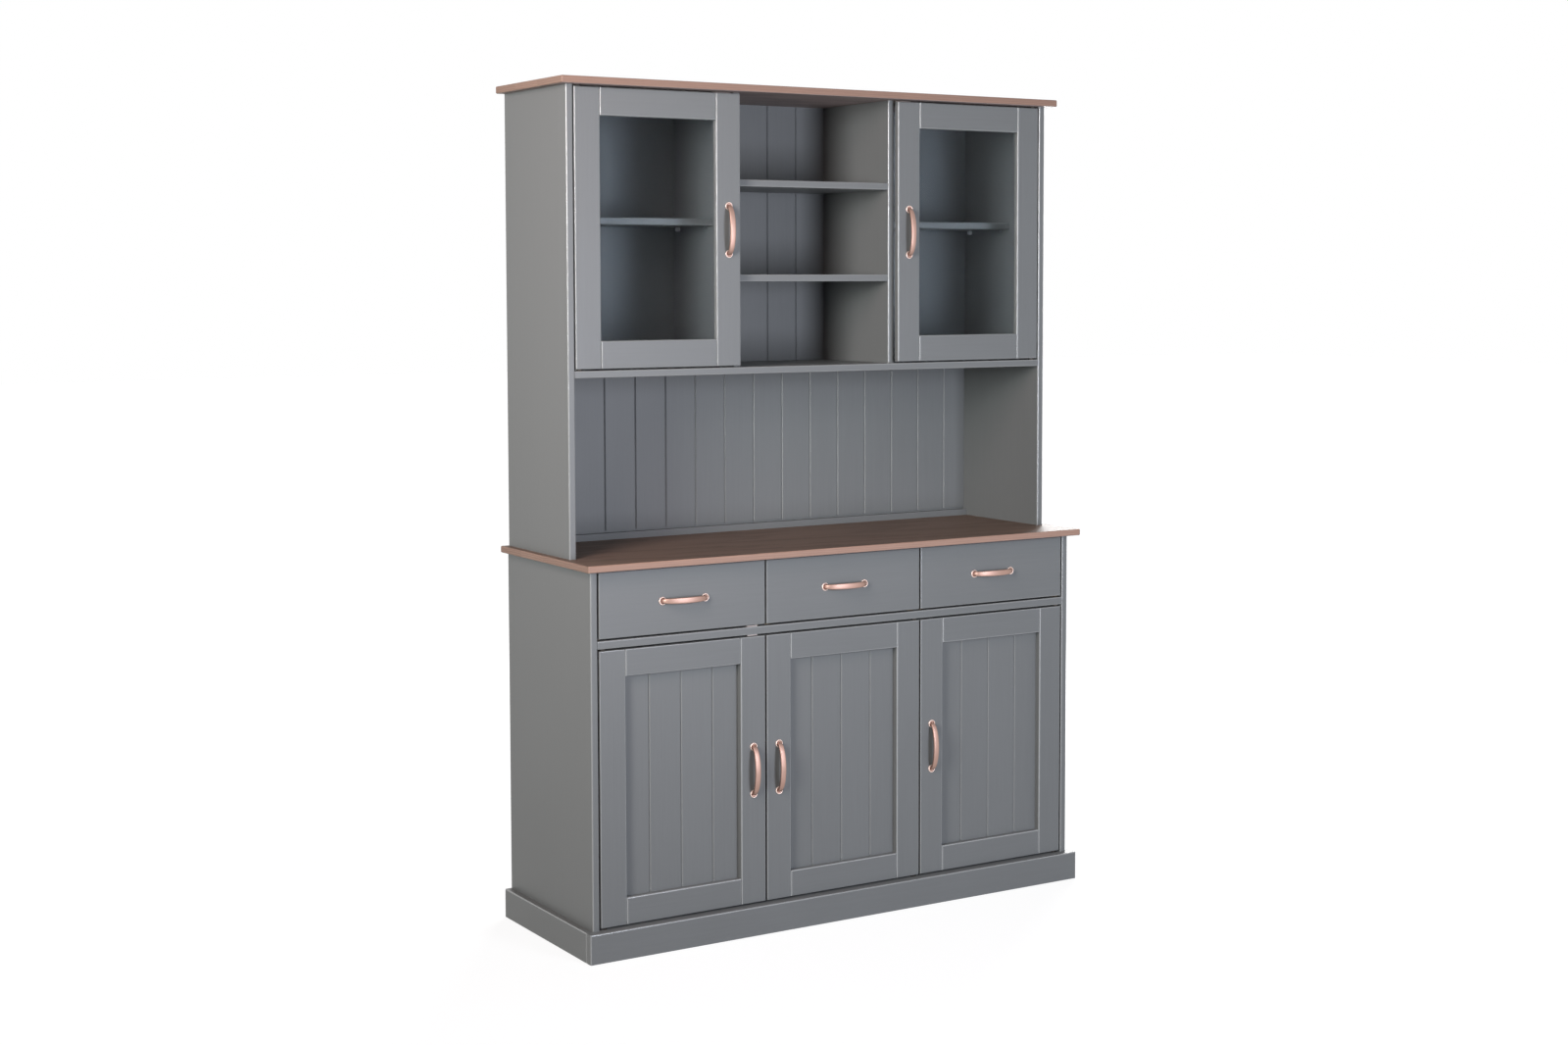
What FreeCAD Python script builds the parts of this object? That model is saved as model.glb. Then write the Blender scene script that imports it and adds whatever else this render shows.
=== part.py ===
import FreeCAD, Part
import math
import os

# A painted buffet cabinet: a base with three drawers over three doors, a stained worktop, and a hutch with
# two glass doors, an open centre bay and an open niche. Sizes are in millimetres. X runs along the width,
# the fronts face -Y, Z is up, and the origin is on the floor under the middle of the cabinet.

V = FreeCAD.Vector

# Carcass
CASE_W = 1360.0
BASE_D = 431.0
BASE_H = 905.0
HUTCH_D = 328.0
HUTCH_H = 1075.0
BOARD_T = 17.0
MID_BOARD_T = 19.0
WORKTOP_T = 16.0
WORKTOP_SIDE_OVERHANG = 19.0
WORKTOP_FRONT_OVERHANG = 29.0
HUTCH_TOP_T = 17.0
HUTCH_TOP_SIDE_OVERHANG = 22.0
HUTCH_TOP_FRONT_OVERHANG = 24.0
PLINTH_H = 69.0
PLINTH_FRONT_T = 22.0
PLINTH_SIDE_T = 17.0
BASE_BACK_T = 6.0
HUTCH_BACK_T = 7.0
HUTCH_BACK_REBATE = 8.0
DRAWER_ROW_H = 159.0
NICHE_H = 412.0
PARTITION_X = 221.0
EDGE_EASE = 3.0
TOP_EASE = 3.0

# Grooved boards of the hutch back and the foot rail in front of them
BACK_BOARD_W = 85.0
DOOR_BOARD_W = 83.5
GROOVE_W = 5.0
GROOVE_D = 2.5
FOOT_RAIL_H = 16.0
FOOT_RAIL_T = 14.0
FOOT_RAIL_QUIRK = 5.0
FOOT_RAIL_QUIRK_D = 4.0

# Shelves and their pins
CENTRE_BAY_H = 202.0
CENTRE_SHELF_SETBACK = 1.0
GLASS_SHELF_H = 336.0
GLASS_SHELF_D = 196.0
BASE_SHELF_H = 310.0
BASE_SHELF_D = 300.0
SHELF_END_GAP = 0.8
SHELF_BACK_GAP = 0.8
SHELF_PIN_D = 5.0
SHELF_PIN_SEAT = 8.0
SHELF_PIN_REACH = 9.0
SHELF_PIN_INSET = 28.0

# Doors
DOOR_T = 22.0
DOOR_GAP = 3.5
MEETING_GAP = 3.0
GLASS_DOOR_OVERLAP = 4.0
BASE_STILE_W = 67.0
BASE_RAIL_H = 63.0
GLASS_STILE_W = 65.0
GLASS_RAIL_H = 64.0
TENON_L = 12.0
TENON_T = 6.0
TENON_SETBACK = 3.5
TENON_SHOULDER = 10.0
DOOR_REBATE = 8.0
PANEL_T = 6.0
GLASS_T = 4.0
GLASS_INSET = 13.0
GLASS_DOOR_LIP_T = 14.0
GLASS_DOOR_LIP_W = 10.0
BASE_PARTITION_GAP = 5.0
HUTCH_PARTITION_GAP = 2.5

# Pivot hinges, magnetic catches
PIVOT_INSET = 12.0
PIVOT_SETBACK = 9.0
PIVOT_PIN_D = 6.0
PIVOT_PIN_SEAT = 25.0
BUSH_D = 10.0
BUSH_L = 12.0
BUSH_FLANGE_D = 15.0
CATCH_W = 40.0
CATCH_D = 14.0
CATCH_H = 12.0
CATCH_GAP = 0.3
STRIKE_W = 30.0
STRIKE_H = 12.0
STRIKE_T = 1.5
STRIKE_DROP = 2.0
PAD_W = 27.0
PAD_D = 9.0
PAD_T = 2.6
PAD_SETBACK = 3.5

# Drawers
DRAWER_FRONT_T = 20.0
DRAWER_SIDE_T = 12.0
DRAWER_SIDE_H = 120.0
DRAWER_BOX_L = 384.0
DRAWER_BOTTOM_T = 5.0
DRAWER_BOTTOM_RISE = 8.0
DRAWER_BOTTOM_GROOVE = 5.0
DRAWER_HOUSING = 6.0
DRAWER_SIDE_GAP = 2.0
DRAWER_STOP_GAP = 0.5
RUNNER_W = 16.0
RUNNER_H = 14.0
RUNNER_L = 370.0

# Bow handles
HANDLE_CC = 112.0
HANDLE_REACH = 24.0
GRIP_W = 14.0
GRIP_END_W = 9.5
GRIP_T = 7.5
GRIP_SWELL = 0.7
SECTIONS_PER_GRIP = 13
ROSETTE_D = 19.0
ROSETTE_T = 3.0
ROSETTE_EASE = 1.2
HANDLE_SCREW_D = 4.0
HANDLE_SCREW_BITE = 5.0
HANDLE_SCREW_HEAD_D = 8.0
HANDLE_SCREW_HEAD_H = 2.2
RECESS_L = 4.4
RECESS_W = 1.1
RECESS_D = 1.5

# Dowels and back screws
DOWEL_D = 8.0
DOWEL_L = 30.0
DOWEL_FACE_DEPTH = 7.0
DOWEL_INSET = 60.0
DOWEL_STAGGER = 30.0
BACK_SCREW_D = 3.0
BACK_SCREW_L = 20.0
BACK_SCREW_HEAD_D = 7.0
BACK_SCREW_HEAD_H = 2.5
BACK_SCREWS_PER_SIDE = 5
BACK_SCREWS_PER_BOARD = 4
BACK_SCREW_END = 60.0

# Fits
SEAT_FIT = 0.03
RUN_FIT = 0.05
SLIDE_FIT = 0.3
PANEL_FIT = 0.3
TOUCH = 0.001

# Planes that the boards share
WORKTOP_D = WORKTOP_FRONT_OVERHANG + BASE_D + BASE_BACK_T
REAR_Y = WORKTOP_D / 2
BACK_Y = REAR_Y - BASE_BACK_T
BASE_FRONT_Y = BACK_Y - BASE_D
HUTCH_FRONT_Y = BACK_Y - HUTCH_D
HUTCH_PANEL_Y = BACK_Y - HUTCH_BACK_T
OUTER_X = CASE_W / 2
INNER_X = OUTER_X - BOARD_T
BAY_X = PARTITION_X - BOARD_T / 2
FAR_BAY_X = PARTITION_X + BOARD_T / 2
WORKTOP_Z = BASE_H - WORKTOP_T
MID_TOP_Z = WORKTOP_Z - DRAWER_ROW_H
MID_Z = MID_TOP_Z - MID_BOARD_T
FLOOR_Z = BASE_H + NICHE_H
FLOOR_TOP_Z = FLOOR_Z + BOARD_T
HUTCH_TOP_Z = BASE_H + HUTCH_H
BASE_PARTITION_Y = BASE_FRONT_Y + DOOR_T + BASE_PARTITION_GAP
DRAWER_PARTITION_Y = BASE_FRONT_Y + DRAWER_FRONT_T + DRAWER_STOP_GAP
HUTCH_PARTITION_Y = HUTCH_FRONT_Y + DOOR_T + HUTCH_PARTITION_GAP

boards = {}
fittings = {}


def block(x, y, z):
    """A box between a pair of limits along each axis."""
    return Part.makeBox(x[1] - x[0], y[1] - y[0], z[1] - z[0], V(x[0], y[0], z[0]))


def rod(diameter, start, end):
    """A round rod between two points."""
    axis = end - start
    return Part.makeCylinder(diameter / 2, axis.Length, start, axis)


def ease(solid, radius, chosen):
    """Round the straight edges whose middles are chosen."""
    return solid.makeFillet(radius, [edge for edge in solid.Edges if chosen(edge.CenterOfMass)])


def front_eased(x, y, z, along):
    """A board whose two front edges along one axis are eased."""
    middle = {"x": (x[0] + x[1]) / 2, "z": (z[0] + z[1]) / 2}[along]
    return ease(block(x, y, z), EDGE_EASE,
                lambda p: abs(p.y - y[0]) < TOUCH and abs(getattr(p, along) - middle) < TOUCH)


def face_eased(x, y, z):
    """A board whose four front edges are eased."""
    return ease(block(x, y, z), EDGE_EASE, lambda p: abs(p.y - y[0]) < TOUCH)


def mirrored(limits, side):
    """X limits on the right (1) or, mirrored, on the left (-1)."""
    return limits if side > 0 else (-limits[1], -limits[0])


def v_groove(x, y, z):
    """A cutter for an upright V groove in a face at y."""
    half = GROOVE_W / 2
    lead = half / GROOVE_D
    tip = Part.makePolygon([V(x - half - lead, y - 1, z[0]), V(x + half + lead, y - 1, z[0]),
                            V(x, y + GROOVE_D, z[0]), V(x - half - lead, y - 1, z[0])])
    return Part.Face(tip).extrude(V(0, 0, z[1] - z[0]))


def joint_places(x, pitch, lead):
    """X places of board joints between two limits: lead pitches from the middle, then one pitch apart."""
    half = (x[1] - x[0]) / 2 - GROOVE_W
    count = int(half / pitch) + 1
    offsets = [(index + lead) * pitch for index in range(-count, count + 1)]
    return [(x[0] + x[1]) / 2 + offset for offset in offsets if abs(offset) < half]


def grooved(panel, places, y, z):
    """Cut an upright V groove in a panel's face at each of some x places."""
    for x in places:
        panel = panel.cut(v_groove(x, y, z))
    return panel


def base_carcass():
    """Sides, bottom, mid board, partitions, back, plinth and worktop."""
    for side, name in ((-1, "left"), (1, "right")):
        boards["base_side_" + name] = front_eased(
            mirrored((INNER_X, OUTER_X), side), (BASE_FRONT_Y, BACK_Y), (0, WORKTOP_Z), "z")
        partition_x = mirrored((BAY_X, FAR_BAY_X), side)
        boards["lower_partition_" + name] = block(partition_x, (BASE_PARTITION_Y, BACK_Y), (PLINTH_H, MID_Z))
        boards["drawer_partition_" + name] = block(
            partition_x, (DRAWER_PARTITION_Y, BACK_Y), (MID_TOP_Z, WORKTOP_Z))
        plinth_x = mirrored((OUTER_X, OUTER_X + PLINTH_SIDE_T), side)
        outer = OUTER_X + PLINTH_SIDE_T
        # The plinth's upright edges are eased too, so that its corner joints show as a V.
        boards["plinth_" + name] = ease(
            block(plinth_x, (BASE_FRONT_Y, REAR_Y), (0, PLINTH_H)), EDGE_EASE,
            lambda p: abs(abs(p.x) - outer) < TOUCH and p.z > TOUCH and p.y < REAR_Y - TOUCH)
    boards["base_bottom_board"] = block(
        (-INNER_X, INNER_X), (BASE_FRONT_Y, BACK_Y), (PLINTH_H - BOARD_T, PLINTH_H))
    boards["base_mid_board"] = front_eased(
        (-INNER_X, INNER_X), (BASE_FRONT_Y, BACK_Y), (MID_Z, MID_TOP_Z), "x")
    boards["base_back_panel"] = block(
        (-OUTER_X, OUTER_X), (BACK_Y, REAR_Y), (PLINTH_H - BOARD_T, WORKTOP_Z))
    plinth_y = (BASE_FRONT_Y - PLINTH_FRONT_T, BASE_FRONT_Y)
    boards["plinth_front"] = ease(
        block((-OUTER_X - PLINTH_SIDE_T, OUTER_X + PLINTH_SIDE_T), plinth_y, (0, PLINTH_H)), EDGE_EASE,
        lambda p: p.z > TOUCH and (abs(p.y - plinth_y[0]) < TOUCH or abs(p.z - PLINTH_H) > TOUCH))
    reach = OUTER_X + WORKTOP_SIDE_OVERHANG
    worktop = block((-reach, reach), (-WORKTOP_D / 2, WORKTOP_D / 2), (WORKTOP_Z, BASE_H))
    boards["worktop"] = ease(worktop, TOP_EASE, lambda p: p.y < REAR_Y - TOUCH)


def hutch_carcass():
    """Sides, top, cupboard floor, partitions, grooved back and foot rail."""
    heights = (BASE_H, HUTCH_TOP_Z)
    rebate_x = INNER_X + HUTCH_BACK_REBATE
    rebate = block((-rebate_x, rebate_x), (HUTCH_PANEL_Y, BACK_Y + 1), heights)
    for side, name in ((-1, "left"), (1, "right")):
        panel = front_eased(mirrored((INNER_X, OUTER_X), side), (HUTCH_FRONT_Y, BACK_Y), heights, "z")
        boards["hutch_side_" + name] = panel.cut(rebate)
        boards["hutch_partition_" + name] = front_eased(
            mirrored((BAY_X, FAR_BAY_X), side), (HUTCH_PARTITION_Y, HUTCH_PANEL_Y),
            (FLOOR_TOP_Z, HUTCH_TOP_Z), "z")
    boards["cupboard_floor"] = front_eased(
        (-INNER_X, INNER_X), (HUTCH_FRONT_Y, HUTCH_PANEL_Y), (FLOOR_Z, FLOOR_TOP_Z), "x")
    reach = OUTER_X + HUTCH_TOP_SIDE_OVERHANG
    top = block((-reach, reach), (HUTCH_FRONT_Y - HUTCH_TOP_FRONT_OVERHANG, BACK_Y),
                (HUTCH_TOP_Z, HUTCH_TOP_Z + HUTCH_TOP_T))
    boards["hutch_top"] = ease(top, TOP_EASE, lambda p: p.y < BACK_Y - TOUCH)
    panel_x = rebate_x - PANEL_FIT
    panel = block((-panel_x, panel_x), (HUTCH_PANEL_Y, BACK_Y), heights)
    # The niche and the centre bay have their own runs of boards. Behind the glass doors the back is plain.
    seam_z = FLOOR_Z + BOARD_T / 2
    niche_joints = joint_places((-panel_x, panel_x), BACK_BOARD_W, 0)
    panel = grooved(panel, niche_joints, HUTCH_PANEL_Y, (BASE_H, seam_z))
    bay_joints = joint_places((-BAY_X, BAY_X), BACK_BOARD_W, 0.5)
    panel = grooved(panel, bay_joints, HUTCH_PANEL_Y, (seam_z, HUTCH_TOP_Z))
    rail_top = BASE_H + FOOT_RAIL_H
    quirk = block((-INNER_X, INNER_X), (HUTCH_PANEL_Y - 1, HUTCH_PANEL_Y + FOOT_RAIL_QUIRK_D),
                  (rail_top, rail_top + FOOT_RAIL_QUIRK))
    boards["hutch_back_panel"] = panel.cut(quirk)
    boards["hutch_foot_rail"] = block(
        (-INNER_X, INNER_X), (HUTCH_PANEL_Y - FOOT_RAIL_T, HUTCH_PANEL_Y), (BASE_H, rail_top))


def shelf_with_pins(name, x, back, depth, height):
    """A loose shelf between two upright faces, on four pins let into them."""
    boards[name] = front_eased((x[0] + SHELF_END_GAP, x[1] - SHELF_END_GAP),
                               (back - SHELF_BACK_GAP - depth, back - SHELF_BACK_GAP),
                               (height, height + BOARD_T), "x")
    pin_z = height - SHELF_PIN_D / 2 - RUN_FIT
    for pin_y in (back - depth + SHELF_PIN_INSET, back - SHELF_PIN_INSET):
        for face, way in ((x[0], 1), (x[1], -1)):
            seat = V(face - way * SHELF_PIN_SEAT, pin_y, pin_z)
            end = V(face + way * SHELF_PIN_REACH, pin_y, pin_z)
            add_fitting("shelf_pins", rod(SHELF_PIN_D, seat, end), rod(SHELF_PIN_D + 2 * SEAT_FIT, seat, end))


def shelves():
    """Two fixed centre shelves, and loose ones behind the doors."""
    front = HUTCH_PARTITION_Y + CENTRE_SHELF_SETBACK
    lower = FLOOR_TOP_Z + CENTRE_BAY_H
    upper = HUTCH_TOP_Z - CENTRE_BAY_H - BOARD_T
    for name, height in (("centre_shelf_lower", lower), ("centre_shelf_upper", upper)):
        boards[name] = front_eased((-BAY_X, BAY_X), (front, HUTCH_PANEL_Y), (height, height + BOARD_T), "x")
    for side, name in ((-1, "left"), (1, "right")):
        bay = mirrored((FAR_BAY_X, INNER_X), side)
        shelf_with_pins("glass_bay_shelf_" + name, bay, HUTCH_PANEL_Y, GLASS_SHELF_D,
                        FLOOR_TOP_Z + GLASS_SHELF_H)
        shelf_with_pins("base_shelf_" + name, bay, BACK_Y, BASE_SHELF_D, PLINTH_H + BASE_SHELF_H)
    shelf_with_pins("base_shelf_middle", (-BAY_X, BAY_X), BACK_Y, BASE_SHELF_D, PLINTH_H + BASE_SHELF_H)


def add_fitting(node, solid, bore=None):
    """Add a small piece to its node, and cut its bore in every board that it enters."""
    fittings.setdefault(node, []).append(solid)
    if bore is None:
        return
    for name, board in boards.items():
        if board.BoundBox.intersect(bore.BoundBox):
            boards[name] = board.cut(bore)


def dowel(point, into_face):
    """A dowel across a joint at a point, with its short end in the board that lies along into_face."""
    start = point + into_face * DOWEL_FACE_DEPTH
    end = point - into_face * (DOWEL_L - DOWEL_FACE_DEPTH)
    add_fitting("dowels", rod(DOWEL_D, start, end), rod(DOWEL_D + 2 * SEAT_FIT, start, end))


def dowels():
    """Dowels at the joints between the boards."""
    base_y = (BASE_FRONT_Y + DOWEL_INSET, BACK_Y - DOWEL_INSET)
    inner_y = (BASE_FRONT_Y + DOWEL_INSET + DOWEL_STAGGER, BACK_Y - DOWEL_INSET - DOWEL_STAGGER)
    hutch_y = (HUTCH_PARTITION_Y + DOWEL_INSET, HUTCH_PANEL_Y - DOWEL_INSET)
    up, down = V(0, 0, 1), V(0, 0, -1)
    for side in (-1, 1):
        outwards = V(side, 0, 0)
        side_x = side * (INNER_X + BOARD_T / 2)
        post_x = side * PARTITION_X
        for y in base_y:
            dowel(V(side * INNER_X, y, PLINTH_H - BOARD_T / 2), outwards)
            dowel(V(side * INNER_X, y, MID_Z + MID_BOARD_T / 2), outwards)
            dowel(V(post_x, y, PLINTH_H), down)
            dowel(V(post_x, y, MID_Z), up)
            dowel(V(side_x, y, WORKTOP_Z), up)
        for y in inner_y:
            dowel(V(post_x, y, MID_TOP_Z), down)
            dowel(V(post_x, y, WORKTOP_Z), up)
        for y in hutch_y:
            dowel(V(side_x, y, BASE_H), down)
            dowel(V(side_x, y, HUTCH_TOP_Z), up)
            dowel(V(side * INNER_X, y, FLOOR_Z + BOARD_T / 2), outwards)
            dowel(V(post_x, y, FLOOR_TOP_Z), down)
            dowel(V(post_x, y, HUTCH_TOP_Z), up)
            for name in ("centre_shelf_lower", "centre_shelf_upper"):
                dowel(V(side * BAY_X, y, boards[name].BoundBox.Center.z), outwards)


def cross_recess(x, y, z):
    """A cutter for the driver's cross in a screw head whose outer face is at y."""
    half_l, half_w = RECESS_L / 2, RECESS_W / 2
    deep = (y - RECESS_D, y + 1)
    level = block((x - half_l, x + half_l), deep, (z - half_w, z + half_w))
    return level.fuse(block((x - half_w, x + half_w), deep, (z - half_l, z + half_l)))


def back_screw(x, y, z):
    """A countersunk screw driven forwards through a back panel at y."""
    def turned(grow):
        radius = BACK_SCREW_D / 2 + grow
        head = BACK_SCREW_HEAD_D / 2 + grow
        shank = Part.makeCylinder(radius, BACK_SCREW_L, V(x, y, z), V(0, -1, 0))
        cone = Part.makeCone(head, radius, BACK_SCREW_HEAD_H, V(x, y, z), V(0, -1, 0))
        return shank.fuse(cone).removeSplitter()
    add_fitting("back_screws", turned(0).cut(cross_recess(x, y, z)), turned(SEAT_FIT))


def spread(start, end, count):
    """Evenly spaced places from start to end."""
    return [start + (end - start) * index / (count - 1) for index in range(count)]


def back_screws():
    """Screws that hold the two back panels to the sides and boards."""
    board_x = OUTER_X - BOARD_T / 2
    for side in (-1, 1):
        for z in spread(PLINTH_H + BACK_SCREW_END, WORKTOP_Z - BACK_SCREW_END, BACK_SCREWS_PER_SIDE):
            back_screw(side * board_x, REAR_Y, z)
        for z in spread(BASE_H + BACK_SCREW_END, HUTCH_TOP_Z - BACK_SCREW_END, BACK_SCREWS_PER_SIDE):
            back_screw(side * (INNER_X + HUTCH_BACK_REBATE / 2), BACK_Y, z)
    for x in spread(-BAY_X / 2 - PARTITION_X, BAY_X / 2 + PARTITION_X, BACK_SCREWS_PER_BOARD):
        back_screw(x, REAR_Y, PLINTH_H - BOARD_T / 2)
        back_screw(x, REAR_Y, MID_Z + MID_BOARD_T / 2)
        back_screw(x, BACK_Y, FLOOR_Z + BOARD_T / 2)


def drawer_runners():
    """Wooden strips on the mid board that the drawer sides run on."""
    y = (DRAWER_PARTITION_Y, DRAWER_PARTITION_Y + RUNNER_L)
    z = (MID_TOP_Z, MID_TOP_Z + RUNNER_H)
    for side in (-1, 1):
        for face, way in ((INNER_X, -1), (FAR_BAY_X, 1), (BAY_X, -1)):
            strip = sorted((face, face + way * RUNNER_W))
            add_fitting("drawer_runners", block(mirrored(strip, side), y, z))


def make_handle():
    """An upright bow handle: an oval grip that swells along half an ellipse, on two round rosettes."""
    half = HANDLE_CC / 2
    foot = ROSETTE_T / 2
    rise = HANDLE_REACH - GRIP_T / 2 - foot
    sections = []
    for turn in spread(-math.pi / 2, math.pi / 2, SECTIONS_PER_GRIP):
        out, along = math.cos(turn), math.sin(turn)
        centre = V(0, -foot - rise * out, half * along)
        outwards = V(0, -half * out, rise * along).normalize()
        width = GRIP_END_W + (GRIP_W - GRIP_END_W) * max(out, 0) ** GRIP_SWELL
        oval = Part.Ellipse(centre + V(width / 2, 0, 0), centre + outwards * GRIP_T / 2, centre)
        sections.append(Part.Wire([oval.toShape()]))
    handle = Part.makeLoft(sections, True, False)
    for z in (-half, half):
        rosette = Part.makeCylinder(ROSETTE_D / 2, ROSETTE_T, V(0, 0, z), V(0, -1, 0))
        rosette = ease(rosette, ROSETTE_EASE, lambda p: p.y < -ROSETTE_T + TOUCH)
        handle = handle.fuse(rosette)
    for z in (-half, half):
        bore = rod(HANDLE_SCREW_D + 2 * SEAT_FIT, V(0, 0, z), V(0, -HANDLE_SCREW_BITE, z))
        handle = handle.cut(bore)
    return handle


def handle_screw(x, y, z, thickness):
    """A screw through a front of some thickness at y into a handle foot, and the bore it needs."""
    tip = V(x, y - HANDLE_SCREW_BITE + RUN_FIT, z)
    seat = V(x, y + thickness, z)
    head = rod(HANDLE_SCREW_HEAD_D, seat, seat + V(0, HANDLE_SCREW_HEAD_H, 0))
    bore = rod(HANDLE_SCREW_D + 2 * SEAT_FIT, V(x, y - 1, z), seat + V(0, 1, 0))
    screw = rod(HANDLE_SCREW_D, tip, seat).fuse(head).removeSplitter()
    return screw.cut(cross_recess(x, y + thickness + HANDLE_SCREW_HEAD_H, z)), bore


def make_door(name, x, z, front, stile_w, rail_h, hinge, glazed):
    """One framed door between two boards, with its pivots, catch, handle and panel or glass."""
    x0, x1 = x
    z0, z1 = z[0] + DOOR_GAP, z[1] - DOOR_GAP
    back = front + DOOR_T
    y = (front, back)
    hole_x = (x0 + stile_w, x1 - stile_w)
    hole_z = (z0 + rail_h, z1 - rail_h)
    stiles = [face_eased((x0, hole_x[0]), y, (z0, z1)), face_eased((hole_x[1], x1), y, (z0, z1))]
    rails = []
    tenon_y = (front + TENON_SETBACK, front + TENON_SETBACK + TENON_T)
    for rail_z in ((z0, hole_z[0]), (hole_z[1], z1)):
        tenon_x = (hole_x[0] - TENON_L, hole_x[1] + TENON_L)
        tenon_z = (rail_z[0] + TENON_SHOULDER, rail_z[1] - TENON_SHOULDER)
        rail = face_eased(hole_x, y, rail_z)
        rails.append(rail.fuse(block(tenon_x, tenon_y, tenon_z)).removeSplitter())
        mortise = block((tenon_x[0] - SEAT_FIT, tenon_x[1] + SEAT_FIT),
                        (tenon_y[0] - SEAT_FIT, tenon_y[1] + SEAT_FIT),
                        (tenon_z[0] - SEAT_FIT, tenon_z[1] + SEAT_FIT))
        stiles = [stile.cut(mortise) for stile in stiles]
    depth = DOOR_T - GLASS_INSET if glazed else PANEL_T
    lap_x = (hole_x[0] - DOOR_REBATE, hole_x[1] + DOOR_REBATE)
    lap_z = (hole_z[0] - DOOR_REBATE, hole_z[1] + DOOR_REBATE)
    rebate = block(lap_x, (back - depth, back + 1), lap_z)
    stiles = [stile.cut(rebate) for stile in stiles]
    rails = [rail.cut(rebate) for rail in rails]

    sheet_x = (lap_x[0] + PANEL_FIT, lap_x[1] - PANEL_FIT)
    sheet_z = (lap_z[0] + PANEL_FIT, lap_z[1] - PANEL_FIT)
    if glazed:
        glass_y = (front + GLASS_INSET, front + GLASS_INSET + GLASS_T)
        fittings[name + "_glass"] = [block(sheet_x, glass_y, sheet_z)]
        bead_y = (glass_y[1], back)
        beads = [block((lap_x[0], hole_x[0]), bead_y, lap_z), block((hole_x[1], lap_x[1]), bead_y, lap_z),
                 block(hole_x, bead_y, (lap_z[0], hole_z[0])), block(hole_x, bead_y, (hole_z[1], lap_z[1]))]
        fittings[name + "_glazing_beads"] = beads
    else:
        panel = block(sheet_x, (back - PANEL_T, back), sheet_z)
        joints = joint_places(sheet_x, DOOR_BOARD_W, 0)
        fittings[name + "_panel"] = [grooved(panel, joints, back - PANEL_T, sheet_z)]

    hinge_x = x1 - PIVOT_INSET if hinge > 0 else x0 + PIVOT_INSET
    free_x = x0 + stile_w / 2 if hinge > 0 else x1 - stile_w / 2
    pivot_y = front + PIVOT_SETBACK
    hinged = 1 if hinge > 0 else 0
    free = 1 - hinged
    if glazed:
        # The free edge is a lip at the front, so that a shadow line shows between it and the partition.
        lip_x = (x0 - 1, x0 + GLASS_DOOR_LIP_W) if hinge > 0 else (x1 - GLASS_DOOR_LIP_W, x1 + 1)
        behind = block(lip_x, (front + GLASS_DOOR_LIP_T, back + 1), (z0 - 1, z1 + 1))
        stiles[free] = stiles[free].cut(behind)
    steel = []
    flange_t = DOOR_GAP - SLIDE_FIT
    for edge, board, way in ((z0, z[0], 1), (z1, z[1], -1)):
        pin_in = V(hinge_x, pivot_y, edge + way * PIVOT_PIN_SEAT)
        pin_out = V(hinge_x, pivot_y, board - way * (BUSH_L - 1))
        steel.append(rod(PIVOT_PIN_D, pin_in, pin_out))
        stiles[hinged] = stiles[hinged].cut(rod(PIVOT_PIN_D + 2 * SEAT_FIT, pin_in, pin_out))
        seat = V(hinge_x, pivot_y, board - way * BUSH_L)
        face = V(hinge_x, pivot_y, board)
        lip = V(hinge_x, pivot_y, board + way * flange_t)
        bush = rod(BUSH_D, seat, face).fuse(rod(BUSH_FLANGE_D, face, lip))
        bush = bush.cut(rod(PIVOT_PIN_D + 2 * RUN_FIT, seat, lip))
        add_fitting("pivot_bushes", bush, rod(BUSH_D + 2 * SEAT_FIT, seat, face))

    strike_z = z1 - STRIKE_DROP
    steel.append(block((free_x - STRIKE_W / 2, free_x + STRIKE_W / 2), (back, back + STRIKE_T),
                       (strike_z - STRIKE_H, strike_z)))
    catch_y = back + STRIKE_T + CATCH_GAP
    add_fitting("magnet_catches", block((free_x - CATCH_W / 2, free_x + CATCH_W / 2),
                                        (catch_y, catch_y + CATCH_D), (z[1] - CATCH_H, z[1])))

    handle_z = (z0 + z1) / 2
    handle = make_handle()
    handle.translate(V(free_x, front, handle_z))
    fittings[name + "_handle"] = [handle]
    for screw_z in (handle_z - HANDLE_CC / 2, handle_z + HANDLE_CC / 2):
        screw, bore = handle_screw(free_x, front, screw_z, DOOR_T)
        steel.append(screw)
        stiles[free] = stiles[free].cut(bore)
    fittings[name + "_frame"] = stiles + rails
    fittings[name + "_fittings"] = steel


def doors():
    """Three panelled doors in the base and two glass doors in the hutch."""
    outer = INNER_X - DOOR_GAP
    meeting = PARTITION_X + MEETING_GAP / 2
    closing = PARTITION_X - MEETING_GAP / 2
    base_z = (PLINTH_H, MID_Z)
    for name, x, hinge in (("left_base_door", (-outer, -meeting), -1),
                           ("middle_base_door", (-closing, closing), 1),
                           ("right_base_door", (meeting, outer), 1)):
        make_door(name, x, base_z, BASE_FRONT_Y, BASE_STILE_W, BASE_RAIL_H, hinge, False)
    glass_z = (FLOOR_TOP_Z, HUTCH_TOP_Z)
    free = FAR_BAY_X - GLASS_DOOR_OVERLAP
    for name, x, hinge in (("left_glass_door", (-outer, -free), -1), ("right_glass_door", (free, outer), 1)):
        make_door(name, x, glass_z, HUTCH_FRONT_Y, GLASS_STILE_W, GLASS_RAIL_H, hinge, True)


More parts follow.
